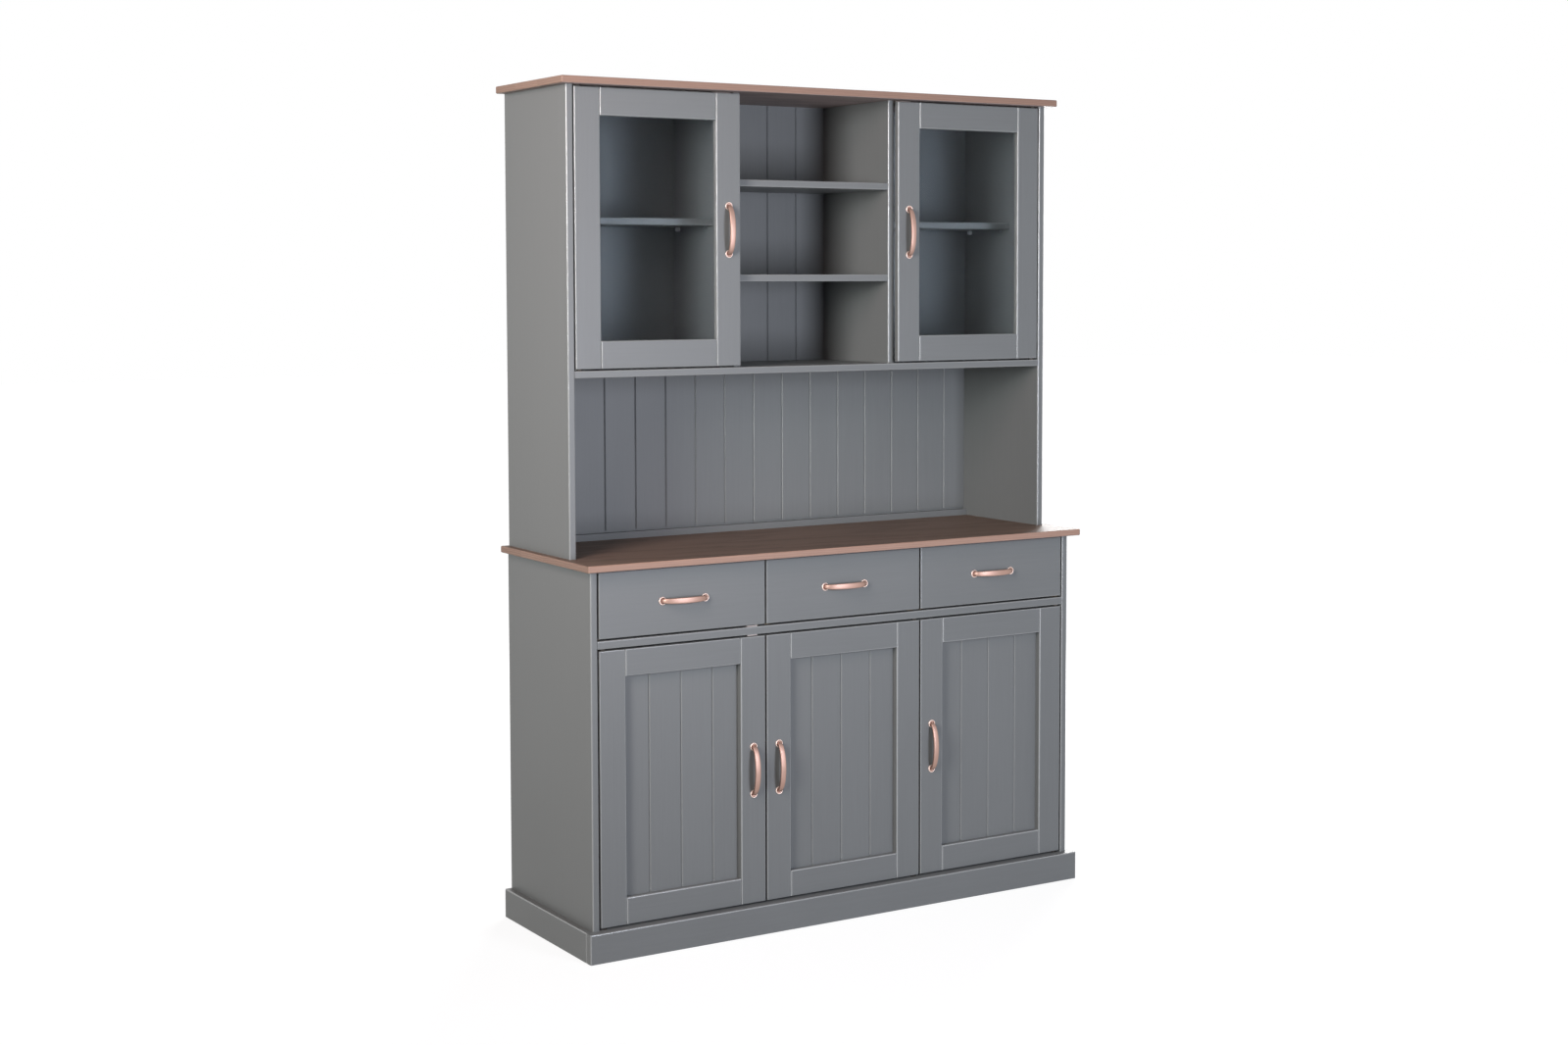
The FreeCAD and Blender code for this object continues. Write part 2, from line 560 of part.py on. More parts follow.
def bumper_pads():
    """Two pads on the mid board, over and under it, at the free corner of the left door and its drawer."""
    right = -PARTITION_X - MEETING_GAP / 2 - BASE_STILE_W / 2 + PAD_W / 2
    x = (right - PAD_W, right)
    y = (BASE_FRONT_Y + PAD_SETBACK, BASE_FRONT_Y + PAD_SETBACK + PAD_D)
    for z in ((MID_TOP_Z, MID_TOP_Z + PAD_T), (MID_Z - PAD_T, MID_Z)):
        add_fitting("magnet_catches", block(x, y, z))


def make_drawer(name, x, bay):
    """One drawer: a slab front, two sides, a back, a bottom in grooves, and a bow handle."""
    back = BASE_FRONT_Y + DRAWER_FRONT_T
    front_z = (MID_TOP_Z + DOOR_GAP, WORKTOP_Z - DOOR_GAP)
    slab = face_eased(x, (BASE_FRONT_Y, back), front_z)
    box_x = (bay[0] + DRAWER_SIDE_GAP, bay[1] - DRAWER_SIDE_GAP)
    inside_x = (box_x[0] + DRAWER_SIDE_T, box_x[1] - DRAWER_SIDE_T)
    end = back + DRAWER_BOX_L
    base_z = MID_TOP_Z + RUNNER_H + SLIDE_FIT
    z = (base_z, base_z + DRAWER_SIDE_H)
    sides = [block((box_x[0], inside_x[0]), (back - DRAWER_HOUSING, end), z),
             block((inside_x[1], box_x[1]), (back - DRAWER_HOUSING, end), z)]
    for side in sides:
        slab = slab.cut(side)
    bottom_z = (base_z + DRAWER_BOTTOM_RISE, base_z + DRAWER_BOTTOM_RISE + DRAWER_BOTTOM_T)
    bottom = block((inside_x[0] - DRAWER_BOTTOM_GROOVE, inside_x[1] + DRAWER_BOTTOM_GROOVE),
                   (back - DRAWER_BOTTOM_GROOVE, end), bottom_z)
    sides = [side.cut(bottom) for side in sides]
    slab = slab.cut(bottom)
    rear = block(inside_x, (end - DRAWER_SIDE_T, end), (bottom_z[1], z[1]))
    handle = make_handle()
    handle.rotate(V(0, 0, 0), V(0, 1, 0), 90)
    middle = (x[0] + x[1]) / 2
    handle_z = (front_z[0] + front_z[1]) / 2
    handle.translate(V(middle, BASE_FRONT_Y, handle_z))
    screws = []
    for screw_x in (middle - HANDLE_CC / 2, middle + HANDLE_CC / 2):
        screw, bore = handle_screw(screw_x, BASE_FRONT_Y, handle_z, DRAWER_FRONT_T)
        screws.append(screw)
        slab = slab.cut(bore)
    fittings[name + "_front"] = [slab]
    fittings[name + "_box"] = sides + [rear]
    fittings[name + "_bottom"] = [bottom]
    fittings[name + "_handle"] = [handle]
    fittings[name + "_screws"] = screws


def drawers():
    """Three drawers in one row under the worktop."""
    outer = INNER_X - DOOR_GAP
    meeting = PARTITION_X + MEETING_GAP / 2
    closing = PARTITION_X - MEETING_GAP / 2
    make_drawer("left_drawer", (-outer, -meeting), (-INNER_X, -FAR_BAY_X))
    make_drawer("middle_drawer", (-closing, closing), (-BAY_X, BAY_X))
    make_drawer("right_drawer", (meeting, outer), (FAR_BAY_X, INNER_X))


# Like boards that share a node
BOARD_GROUPS = {
    "base_partitions": ("lower_partition_left", "lower_partition_right",
                        "drawer_partition_left", "drawer_partition_right"),
    "plinth_boards": ("plinth_front", "plinth_left", "plinth_right"),
    "base_shelves": ("base_shelf_left", "base_shelf_middle", "base_shelf_right"),
    "hutch_partitions": ("hutch_partition_left", "hutch_partition_right"),
    "hutch_shelves": ("glass_bay_shelf_left", "glass_bay_shelf_right",
                      "centre_shelf_lower", "centre_shelf_upper"),
}


def nodes():
    """All pieces by node: a list of separate solids each."""
    grouped = dict(fittings)
    members = {name for group in BOARD_GROUPS.values() for name in group}
    for name, board in boards.items():
        if name not in members:
            grouped[name] = [board]
    for name, group in BOARD_GROUPS.items():
        grouped[name] = [boards[member] for member in group]
    return grouped


def main():
    os.makedirs("parts", exist_ok=True)
    base_carcass()
    hutch_carcass()
    shelves()
    dowels()
    back_screws()
    drawer_runners()
    doors()
    bumper_pads()
    drawers()
    for name, solids in sorted(nodes().items()):
        shape = solids[0] if len(solids) == 1 else Part.makeCompound(solids)
        shape.exportStep("parts/" + name + ".step")
        print(name, len(shape.Solids), "solids, valid", shape.isValid(), "volume", round(shape.Volume))


main()
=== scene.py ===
"""Dresses the buffet cabinet: grey satin paint, stained tops, glass, rose metal bow handles, and a studio."""

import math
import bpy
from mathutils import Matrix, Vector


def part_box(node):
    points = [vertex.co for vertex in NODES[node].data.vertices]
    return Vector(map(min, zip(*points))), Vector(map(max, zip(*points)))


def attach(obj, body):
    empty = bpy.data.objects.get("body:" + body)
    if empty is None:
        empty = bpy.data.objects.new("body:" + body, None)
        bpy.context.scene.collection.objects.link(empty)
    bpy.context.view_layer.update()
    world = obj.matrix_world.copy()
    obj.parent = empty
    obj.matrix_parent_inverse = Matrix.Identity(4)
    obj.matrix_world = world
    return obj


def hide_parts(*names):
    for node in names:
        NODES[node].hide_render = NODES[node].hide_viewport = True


bl_info = {
    "name": "Painted buffet cabinet",
    "version": (1, 0, 0),
    "blender": (4, 5, 0),
    "location": "View3D > Sidebar > Buffet",
    "description": "Gives the buffet cabinet its finishes, its bow handles and a plain studio",
    "category": "Object",
}

import bmesh
import bpy
import numpy as np
from bpy.props import FloatProperty, FloatVectorProperty, IntProperty, PointerProperty

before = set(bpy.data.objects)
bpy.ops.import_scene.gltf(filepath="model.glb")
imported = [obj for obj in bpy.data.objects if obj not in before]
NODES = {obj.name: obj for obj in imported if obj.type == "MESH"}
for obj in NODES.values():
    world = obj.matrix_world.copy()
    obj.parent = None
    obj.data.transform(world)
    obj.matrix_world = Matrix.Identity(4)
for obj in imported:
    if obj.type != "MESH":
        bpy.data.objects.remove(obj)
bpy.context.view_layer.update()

# Softboxes: place, aim, width and height in metres, the spread of their beam in degrees, and colour.
SOFTBOXES = {
    "front": ((0.6, -3.6, 1.2), (0.0, 0.0, 1.2), (0.9, 1.6), 180.0, (0.82, 0.86, 1.0)),
    "side": ((-5.4, -2.9, 2.0), (-0.6, 0.0, 1.75), (1.4, 1.6), 60.0, (0.95, 1.0, 0.99)),
    "near": ((-2.1, -1.2, 2.2), (0.0, 0.0, 1.3), (0.8, 1.0), 180.0, (1.0, 0.82, 0.82)),
    "rear": ((2.6, 2.8, 1.6), (0.0, 0.0, 1.0), (2.4, 2.2), 180.0, (1.0, 1.0, 1.0)),
}
# How far the floor reaches, and between which distances its own glow rises to full white, in metres.
FLOOR_REACH = 30.0
FLOOR_GLOW_STEP = (1.2, 3.2)
FLOOR_TONE = 0.02
FLOOR_ROUGHNESS = 0.9
FLOOR_SPECULAR = 0.1
WHITE = (1.0, 1.0, 1.0)
# Sockets of the node groups that aren't plain numbers.
VECTOR_SOCKETS = ("Vector", "Stretch", "Low", "High", "Map", "Place", "Normal")
SOCKET_KINDS = {"Colour": "NodeSocketColor", **dict.fromkeys(VECTOR_SOCKETS, "NodeSocketVector")}
# The camera's frame width in millimetres, and how far it sees in metres.
FRAME_WIDTH = 36.0
SIGHT = 100.0

# Share of the edges' polish and of their painted highlight in the grooves of the back and of the door panels,
# and on the frames of the doors.
GROOVE_POLISH = 0.16
PANEL_POLISH = 0.5
BASE_FRAME_POLISH = 2.0
GLASS_FRAME_POLISH = 0.7
# An edge counts as eased from the first to the second value of 1 less the largest part of its normal.
EASE_STEP = (0.004, 0.03)
EDGE_COAT_ROUGHNESS = 0.24
EDGE_COAT_IOR = 1.9
# How wide and how deep the painted shade of the gap lies on the outer edges of the base doors and the drawer
# fronts.
GAP_SHADE_WIDTH = 0.0022
GAP_SHADE = 0.8
# Paint: weight of the fine streaks, and how much the streaks and the mottle change its roughness.
FINE_STREAKS = 0.6
STREAK_SHEEN = 0.1
MOTTLE_SHEEN = 0.12
PAINT_SPECULAR = 0.35
# Grooved panels: share of a groove that is flat, its painted shade, and how much the boards differ.
GROOVE_FLAT = 0.15
PAINTED_GROOVE_SHADE = 0.92
BOARD_TONE = 0.05
# How wide, in metres, and how much paler the edges of paint and stain are rubbed, and how patchily.
PAINT_RUB = (0.004, 1.55)
STAIN_RUB = (0.006, 1.5)
RUB_PATCHES = 1.2

# Stained and bare pine: width of the glued staves and spacing of the growth rings, in metres.
STAINED_PINE = {"stave": 0.118, "spacing": 0.0052}
RAW_PINE = {"stave": 0.09, "spacing": 0.0048}
# How far the staves are shifted along each other, and where the heart of the rings lies under each of them.
STAVE_SHIFT = 9.0
HEART_WANDER = 0.05
HEART_DEPTH = 0.03
HEART_SPREAD = 0.05
HEART_SLOPE = 0.012
# How the rings waver, how late in a year its wood darkens, where the year ends, and how the fibres are drawn.
RING_STRETCH = (9.0, 90.0, 90.0)
RING_WAVER = 1.1
LATE_WOOD = 2.5
YEAR_END = 0.9
FIBRE_STRETCH = (14.0, 520.0, 520.0)
# Stained tops: depths over which the front's paler colour, stain and painted highlight, the ends' stain and
# the underside's stain fade, and tones.
FRONT_FADE = (0.0015, 0.006)
END_FADE = (0.0008, 0.003)
UNDER_FADE = (0.0005, 0.002)
FACE_RING_DEPTH = -0.42
EDGE_RING_DEPTH = -0.2
EARLY_WOOD = 1.06
STAINED_FIBRES = 0.34
STAVE_TONE = 0.14
STAIN_SHEEN = 0.22
STAIN_ROUGHNESS = 0.53
STAIN_SPECULAR = 0.25
# Bare pine: how strong and how dark its late wood is, and how its fibres change tone and roughness.
RAW_RINGS = 0.75
RAW_LATE_TONE = 0.68
RAW_FIBRES = 0.22
RAW_SHEEN = 0.2
RAW_ROUGHNESS = 0.6

# Metals: how their fine lines are drawn, and how much lines and clouds change tone and roughness.
LINE_STRETCH = (90.0, 2600.0, 1.0)
LINE_SHEEN = 0.16
CLOUD_TONE = 0.22
CLOUD_SHEEN = 0.14
ROSE_ROUGHNESS = 0.47
ZINC_ROUGHNESS = 0.34
OXIDE_ROUGHNESS = 0.5
PLASTIC_TONE = 0.1
PLASTIC_SHEEN = 0.2
PLASTIC_ROUGHNESS = 0.45
# Glass: the tint of its faint reflections, and the traces of wiping in its polish.
GLASS_IOR = 1.5
GLASS_GLARE = (0.05, 0.056, 0.066)
WIPE_STRETCH = (14.0, 14.0, 5.0)
WIPE_STEP = (0.5, 0.8)
WIPE_ROUGHNESS = 0.004
# Bumps: strength, and height in metres.
PAINT_BUMP = (0.12, 0.0004)
STAIN_BUMP = (0.18, 0.0005)
RAW_BUMP = (0.15, 0.0004)
STEEL_BUMP = (0.05, 0.0002)
PLASTIC_BUMP = (0.1, 0.0002)
ROSE_BUMP = (0.06, 0.0002)

# Doors, in metres: width of the stiles, and pitch and width of the panels' grooves.
BASE_STILE = 0.067
GLASS_STILE = 0.065
PANEL_PITCH = 0.0835
PANEL_GROOVE = 0.005
# Foot plates of the handles: radius and height as shares of the largest, from the wall to the dish.
ROSETTE_PROFILE = (
    (0.0, 0.0), (0.98, 0.0), (1.0, 0.1), (1.0, 0.5), (0.985, 0.7), (0.955, 0.87), (0.915, 0.97), (0.87, 1.0),
    (0.825, 0.97), (0.785, 0.87), (0.755, 0.72), (0.735, 0.56), (0.715, 0.44), (0.68, 0.36), (0.6, 0.32),
    (0.3, 0.32), (0.0, 0.32))
# Shares of a plate's radius between which it turns to its paler rim, a painted highlight, and of its height
# where the bow starts.
RIM_STEP = (0.72, 0.8)
FOOT_HEIGHT = 0.3
# The handles' map: where the plates' radius starts on its second axis, clear of the bow's girth, and the
# radii that make lengths of the angles round a bow and a plate.
RIM_MAP = 0.1
GIRTH_RADIUS = 0.005
PLATE_RADIUS = 0.006
# Shelf pins: how far they stand out of their walls, a depth that holds one row of them, the least height
# between two levels, and the points along a head's fillet.
PIN_REACH = 0.009
PIN_ROW = 0.02
PIN_LEVEL_GAP = 0.05
FILLET_POINTS = 5

# Which way the brush was drawn along each painted board: the noise is stretched on that axis.
UPRIGHT = (170.0, 170.0, 5.0)
LEVEL = (5.0, 170.0, 170.0)
DEEP = (170.0, 5.0, 170.0)

UPRIGHT_BOARDS = ("base_side_left", "base_side_right", "base_partitions", "hutch_side_left",
                  "hutch_side_right", "hutch_partitions")
LEVEL_BOARDS = ("base_bottom_board", "base_mid_board", "base_shelves", "cupboard_floor",
                "hutch_foot_rail", "hutch_shelves")
# How light the front edge of each top is drawn, stain and painted highlight together; the hutch top's is
# darker.
STAINED_BOARDS = {"worktop": 1.0, "hutch_top": 0.8}
BASE_DOORS = ("left_base_door", "middle_base_door", "right_base_door")
GLASS_DOORS = ("left_glass_door", "right_glass_door")
DRAWERS = ("left_drawer", "middle_drawer", "right_drawer")
STEEL_NODES = ("shelf_pins", "back_screws")
OXIDE_NODES = ("pivot_bushes",)
PLASTIC_NODES = ("magnet_catches",)
PINE_NODES = ("dowels", "drawer_runners")


def linear(red, green, blue):
    """A screen colour of 0 to 255 in linear light, by the sRGB curve, as colour sockets take it."""
    level = np.array((red, green, blue)) / 255.0
    return tuple(np.where(level < 0.04045, level / 12.92, ((level + 0.055) / 1.055) ** 2.4))


def tint(name, description, red, green, blue):
    """A colour property with a screen colour as its default."""
    return FloatVectorProperty(name=name, description=description, subtype="COLOR", size=3, min=0.0, max=1.0,
                               default=linear(red, green, blue))


def length(name, description, default):
    """A length property in metres."""
    return FloatProperty(name=name, description=description, default=default, min=0.0, unit="LENGTH",
                         precision=4)


def count(name, description, default):
    """A property for a number of points or sections."""
    return IntProperty(name=name, description=description, default=default, min=8)


def share(name, description, default):
    """A plain property between nothing and all."""
    return FloatProperty(name=name, description=description, default=default, min=0.0, max=1.0,
                         subtype="FACTOR")


def power(name, description, default):
    """A lamp's power in watts."""
    return FloatProperty(name=name, description=description, default=default, min=0.0, unit="POWER")


class BuffetFinish(bpy.types.PropertyGroup):
    """Colours and surface values of the cabinet's finishes."""

    paint: tint("Paint", "Grey satin paint of the boards, doors and drawer fronts", 118, 120, 119)
    stain: tint("Stain", "Brown stain on the flat faces of the worktop and the hutch top", 124, 102, 88)
    # The tops' front edge colour is partly stain, partly painted highlight where the front edge faces the
    # lamps.
    stain_edge_and_highlight: tint("Stained edge", "Stain on the tops' long edges, where wood takes less", 176, 142, 124)
    stain_end: tint("Stained end grain", "Stain on the tops' ends, where wood drinks more", 157, 129, 114)
    stain_under: tint("Underside", "Thin stain on the undersides of the tops", 158, 142, 136)
    pine: tint("Raw pine", "Unpainted pine of drawer boxes, runners and dowels", 214, 182, 138)
    ply: tint("Drawer bottom", "Pale plywood of the drawer bottoms", 222, 198, 160)
    rose_metal: tint("Rose metal", "Satin rose metal of the bow handles", 170, 139, 127)
    steel: tint("Zinc steel", "Plated steel of pins, strikes and screws", 196, 198, 200)
    oxide: tint("Browned steel", "Dark browned steel of the pivot bushes", 58, 54, 51)
    # The rims' paler colour is a painted highlight of the bright ring on the foot plates.
    rim: tint("Rosette rim", "Paler, brushed metal on the rims of the handles' foot plates", 236, 214, 203)
    plastic: tint("Beige plastic", "Housings of the magnetic catches, and the bumper pads", 190, 177, 170)
    pin_head: tint("Pin head", "Pale plastic of the round heads on the rear shelf pins", 232, 233, 236)
    glass: tint("Glass", "Faint grey of the panes in the glass doors", 222, 226, 228)
    paint_roughness: share("Paint roughness", "How satin the paint is", 0.43)
    paint_streak: share("Brush streaks", "Strength of the brush streaks in the paint", 0.1)
    paint_mottle: share("Paint mottle", "Strength of the slow change of tone in the paint", 0.08)
    edge_polish: share("Edge polish", "How glossy the paint is where it lies thin over the eased edges", 0.9)
    # Painted highlight: the paint colour is made paler over the eased edges, where they catch the lamps.
    edge_highlight_tone: share("Edge tone", "How much paler the paint is over the eased edges", 0.25)
    edge_rub: share("Edge rub", "How much paint and stain are rubbed along the edges", 0.1)


class BuffetHandle(bpy.types.PropertyGroup):
    """Sizes of a bow handle."""

    centres: length("Centres", "Distance between the two feet", 0.112)
    reach: length("Reach", "How far the bow stands out from the front", 0.024)
    grip_width: length("Grip width", "Width of the bow at its middle", 0.014)
    end_width: length("End width", "Width of the bow where it meets a foot", 0.0095)
    grip_thickness: length("Grip thickness", "Thickness of the bow at its middle", 0.0072)
    end_thickness: length("End thickness", "Thickness of the bow at its feet", 0.0075)
    rosette_diameter: length("Rosette diameter", "Diameter of the round foot plates", 0.019)
    rosette_thickness: length("Rosette thickness", "Height of the foot plate's rim", 0.003)
    swell: FloatProperty(name="Swell", default=0.7, min=0.2, max=3.0,
                         description="Power of the bow's swelling; lower is wider near the ends")
    rings: count("Rings", "Sections along the bow", 72)
    around: count("Around", "Points round a section", 36)


class BuffetShelfPin(bpy.types.PropertyGroup):
    """Sizes of the round heads on the rear shelf pins."""

    diameter: length("Diameter", "Diameter of a pin's head", 0.0105)
    reach: length("Reach", "How far a head stands out from its wall", 0.0094)
    fillet: length("Fillet", "Rounding of a head's rim", 0.0012)
    around: count("Around", "Points round a head", 40)


class BuffetStage(bpy.types.PropertyGroup):
    """Camera, lamps and floor."""

    camera_place: FloatVectorProperty(name="Camera place", description="Where the camera stands", size=3,
                                      subtype="TRANSLATION", unit="LENGTH", default=(-2.904, -4.643, 1.537))
    camera_turn: FloatVectorProperty(
        name="Camera turn", description="Camera rotation", size=3, subtype="EULER", unit="ROTATION",
        default=(math.radians(90 - 3.862), math.radians(0.123), math.radians(-31.638)))
    lens: FloatProperty(name="Lens", default=51.10,
                        description="Focal length in millimetres on a 36 mm wide frame")
    shift: FloatProperty(name="Shift", description="Upward shift of the frame, as a share of its width",
                         default=-0.0581)
    front_light: power("Front light", "Power of the cool front softbox", 84.0)
    side_light: power("Side light", "Power of the gridded left softbox, which stands far off", 26.0)
    near_light: power("Near light", "Power of the small left softbox, nearer and higher", 28.0)
    rear_light: power("Rear light", "Power of the softbox behind, for the back and the right side", 150.0)
    fill: share("Fill", "Strength of the even light from all round", 0.012)
    floor_glow: share("Floor glow", "Own share of the near floor's white, which keeps the shadow faint", 0.87)
    floor: tint("Floor", "Studio floor under its own glow", 130, 130, 129)


def feed(tree, socket, source):
    """Link a socket to an output, or set its plain value."""
    if isinstance(source, bpy.types.NodeSocket):
        tree.links.new(source, socket)
    elif hasattr(source, "__len__") and socket.type == "RGBA":
        socket.default_value = (*source[:3], 1.0)
    else:
        socket.default_value = source


def arithmetic(tree, kind, operation, values):
    """A node that takes one arithmetic step."""
    step = tree.nodes.new(kind)
    step.operation = operation
    for socket, value in zip(step.inputs, values):
        feed(tree, socket, value)
    return step


def sums(tree, operation, *values):
    """One arithmetic step on numbers."""
    return arithmetic(tree, "ShaderNodeMath", operation, values).outputs[0]


def vector_sums(tree, operation, *values):
    """One arithmetic step on vectors."""
    return arithmetic(tree, "ShaderNodeVectorMath", operation, values).outputs[0]


def vector_length(tree, vector):
    """How long a vector is."""
    return arithmetic(tree, "ShaderNodeVectorMath", "LENGTH", [vector]).outputs["Value"]


def scaled(tree, vector, factor):
    """A vector or colour times a number."""
    step = tree.nodes.new("ShaderNodeVectorMath")
    step.operation = "SCALE"
    feed(tree, step.inputs["Vector"], vector)
    feed(tree, step.inputs["Scale"], factor)
    return step.outputs[0]


def split(tree, vector):
    """The x, y and z of a vector."""
    step = tree.nodes.new("ShaderNodeSeparateXYZ")
    feed(tree, step.inputs[0], vector)
    return step.outputs


def joined(tree, x, y, z):
    """A vector from three numbers."""
    step = tree.nodes.new("ShaderNodeCombineXYZ")
    for socket, value in zip(step.inputs, (x, y, z)):
        feed(tree, socket, value)
    return step.outputs[0]


def noise(tree, vector, scale=1.0, detail=3.0, roughness=0.55, distortion=0.0):
    """Soft noise between 0 and 1 about 0.5."""
    step = tree.nodes.new("ShaderNodeTexNoise")
    feed(tree, step.inputs["Vector"], vector)
    step.inputs["Scale"].default_value = scale
    step.inputs["Detail"].default_value = detail
    step.inputs["Roughness"].default_value = roughness
    step.inputs["Distortion"].default_value = distortion
    return step.outputs["Fac"]


def varied(tree, value, amount, base=1.0):
    """A base plus an amount of a noise about its middle, 0.5."""
    return sums(tree, "MULTIPLY_ADD", sums(tree, "SUBTRACT", value, 0.5), amount, base)


def chance(tree, value):
    """A random number between 0 and 1 for each whole value."""
    pick = tree.nodes.new("ShaderNodeTexWhiteNoise")
    pick.noise_dimensions = "1D"
    feed(tree, pick.inputs["W"], value)
    return pick.outputs["Value"]


def remap(tree, value, low, high, out_low=0.0, out_high=1.0, smooth=True):
    """A number carried from one range to another, held at the ends."""
    step = tree.nodes.new("ShaderNodeMapRange")
    step.interpolation_type = "SMOOTHSTEP" if smooth else "LINEAR"
    for socket, number in zip(step.inputs, (value, low, high, out_low, out_high)):
        feed(tree, socket, number)
    return step.outputs[0]


def inside_of(tree, value, first, last):
    """How far a number lies inside two limits."""
    return sums(tree, "MINIMUM", sums(tree, "SUBTRACT", value, first), sums(tree, "SUBTRACT", last, value))


def blended(tree, share_of_second, first, second):
    """A colour between two others."""
    step = tree.nodes.new("ShaderNodeMix")
    step.data_type = "RGBA"
    feed(tree, step.inputs[0], share_of_second)
    feed(tree, step.inputs[6], first)
    feed(tree, step.inputs[7], second)
    return step.outputs[2]


def new_group(name, inputs, outputs):
    """An empty shader node group with named sockets: its tree, the inputs and the outputs."""
    tree = bpy.data.node_groups.new(name, "ShaderNodeTree")
    for way, labels in (("INPUT", inputs), ("OUTPUT", outputs)):
        for label in labels:
            kind = SOCKET_KINDS.get(label, "NodeSocketFloat")
            tree.interface.new_socket(name=label, in_out=way, socket_type=kind)
    given = tree.nodes.new("NodeGroupInput").outputs
    result = tree.nodes.new("NodeGroupOutput").inputs
    return tree, given, result


def place_group(tree, name, **values):
    """A group placed in a material with its own values, each by its socket's name in small letters."""
    step = tree.nodes.new("ShaderNodeGroup")
    step.node_tree = bpy.data.node_groups[name]
    for label, value in values.items():
        feed(tree, step.inputs[label.capitalize()], value)
    return step.outputs


def paint_film_group():
    """Brushed paint: tone = 1 + streak x (two stretched noises) + mottle x (slow noise)."""
    tree, given, result = new_group(
        "Paint film", ("Vector", "Stretch", "Colour", "Streak", "Mottle", "Roughness"),
        ("Colour", "Roughness", "Height"))
    drawn = vector_sums(tree, "MULTIPLY", given["Vector"], given["Stretch"])
    broad = noise(tree, drawn, detail=4.0, roughness=0.6)
    fine = noise(tree, drawn, scale=3.1, detail=2.0, roughness=0.5)
    slow = noise(tree, given["Vector"], scale=4.0, roughness=0.5)
    lines = varied(tree, fine, FINE_STREAKS, sums(tree, "SUBTRACT", broad, 0.5))
    tone = sums(tree, "MULTIPLY_ADD", lines, given["Streak"], 1.0)
    tone = varied(tree, slow, given["Mottle"], tone)
    feed(tree, result["Colour"], scaled(tree, given["Colour"], tone))
    sheen = sums(tree, "MULTIPLY_ADD", lines, STREAK_SHEEN, given["Roughness"])
    feed(tree, result["Roughness"], varied(tree, slow, MOTTLE_SHEEN, sheen))
    feed(tree, result["Height"], sums(tree, "ADD", lines, 0.5))


def edge_rub_group():
    """Wear near a board's edges: the second smallest distance to its box's face pairs, faded over a width."""
    tree, given, result = new_group("Edge rub", ("Vector", "Low", "High", "Width", "Amount"), ("Mask",))
    from_low = vector_sums(tree, "SUBTRACT", given["Vector"], given["Low"])
    from_high = vector_sums(tree, "SUBTRACT", given["High"], given["Vector"])
    x, y, z = split(tree, vector_sums(tree, "MINIMUM", from_low, from_high))
    pairs = [sums(tree, "MAXIMUM", first, second) for first, second in ((x, y), (y, z), (x, z))]
    distance = sums(tree, "MINIMUM", sums(tree, "MINIMUM", pairs[0], pairs[1]), pairs[2])
    patchy = noise(tree, given["Vector"], scale=38.0, roughness=0.6)
    width = sums(tree, "MULTIPLY", given["Width"], varied(tree, patchy, RUB_PATCHES))
    near = remap(tree, sums(tree, "DIVIDE", distance, width), 0.0, 1.0, 1.0, 0.0)
    feed(tree, result["Mask"], sums(tree, "MULTIPLY", near, given["Amount"]))


def board_joints_group():
    """Upright boards side by side: the groove mask fades from a groove's middle, each board has a tone."""
    tree, given, result = new_group(
        "Board joints", ("Vector", "Middle", "Pitch", "Width"), ("Groove", "Tone"))
    x = split(tree, given["Vector"])[0]
    place = sums(tree, "DIVIDE", sums(tree, "SUBTRACT", x, given["Middle"]), given["Pitch"])
    nearest = sums(tree, "SUBTRACT", place, sums(tree, "ROUND", place))
    distance = sums(tree, "MULTIPLY", sums(tree, "ABSOLUTE", nearest), given["Pitch"])
    ratio = sums(tree, "DIVIDE", distance, sums(tree, "MULTIPLY", given["Width"], 0.5))
    feed(tree, result["Groove"], remap(tree, ratio, GROOVE_FLAT, 1.0, 1.0, 0.0))
    feed(tree, result["Tone"], chance(tree, sums(tree, "FLOOR", place)))


def pine_grain_group():
    """Pine in glued staves along X: growth rings are cylinders about a heart that wanders along the stave,
    and a year's wood darkens to its end."""
    tree, given, result = new_group("Pine grain", ("Vector", "Stave", "Spacing"), ("Ring", "Fibre", "Tone"))
    x, y, z = split(tree, given["Vector"])
    place = sums(tree, "DIVIDE", y, given["Stave"])
    index = sums(tree, "FLOOR", place)
    own = chance(tree, index)
    along = sums(tree, "MULTIPLY_ADD", own, STAVE_SHIFT, x)
    from_heart = sums(tree, "SUBTRACT", sums(tree, "FRACT", place), own)
    wander = noise(tree, joined(tree, along, index, 0.0), scale=1.3, detail=2.0, roughness=0.5)
    across = varied(tree, wander, HEART_WANDER, sums(tree, "MULTIPLY", from_heart, given["Stave"]))
    below = sums(tree, "MULTIPLY_ADD", own, HEART_SPREAD, HEART_DEPTH)
    below = sums(tree, "MULTIPLY_ADD", along, HEART_SLOPE, below)
    radius = vector_length(tree, joined(tree, across, sums(tree, "ADD", z, below), 0.0))
    waver = noise(tree, vector_sums(tree, "MULTIPLY", given["Vector"], RING_STRETCH))
    rings = sums(tree, "MULTIPLY_ADD", waver, RING_WAVER, sums(tree, "DIVIDE", radius, given["Spacing"]))
    year = sums(tree, "FRACT", rings)
    late = sums(tree, "POWER", year, LATE_WOOD)
    feed(tree, result["Ring"], sums(tree, "MULTIPLY", late, remap(tree, year, YEAR_END, 1.0, 1.0, 0.0)))
    fibre = noise(tree, vector_sums(tree, "MULTIPLY", given["Vector"], FIBRE_STRETCH), roughness=0.6)
    feed(tree, result["Fibre"], fibre)
    feed(tree, result["Tone"], own)


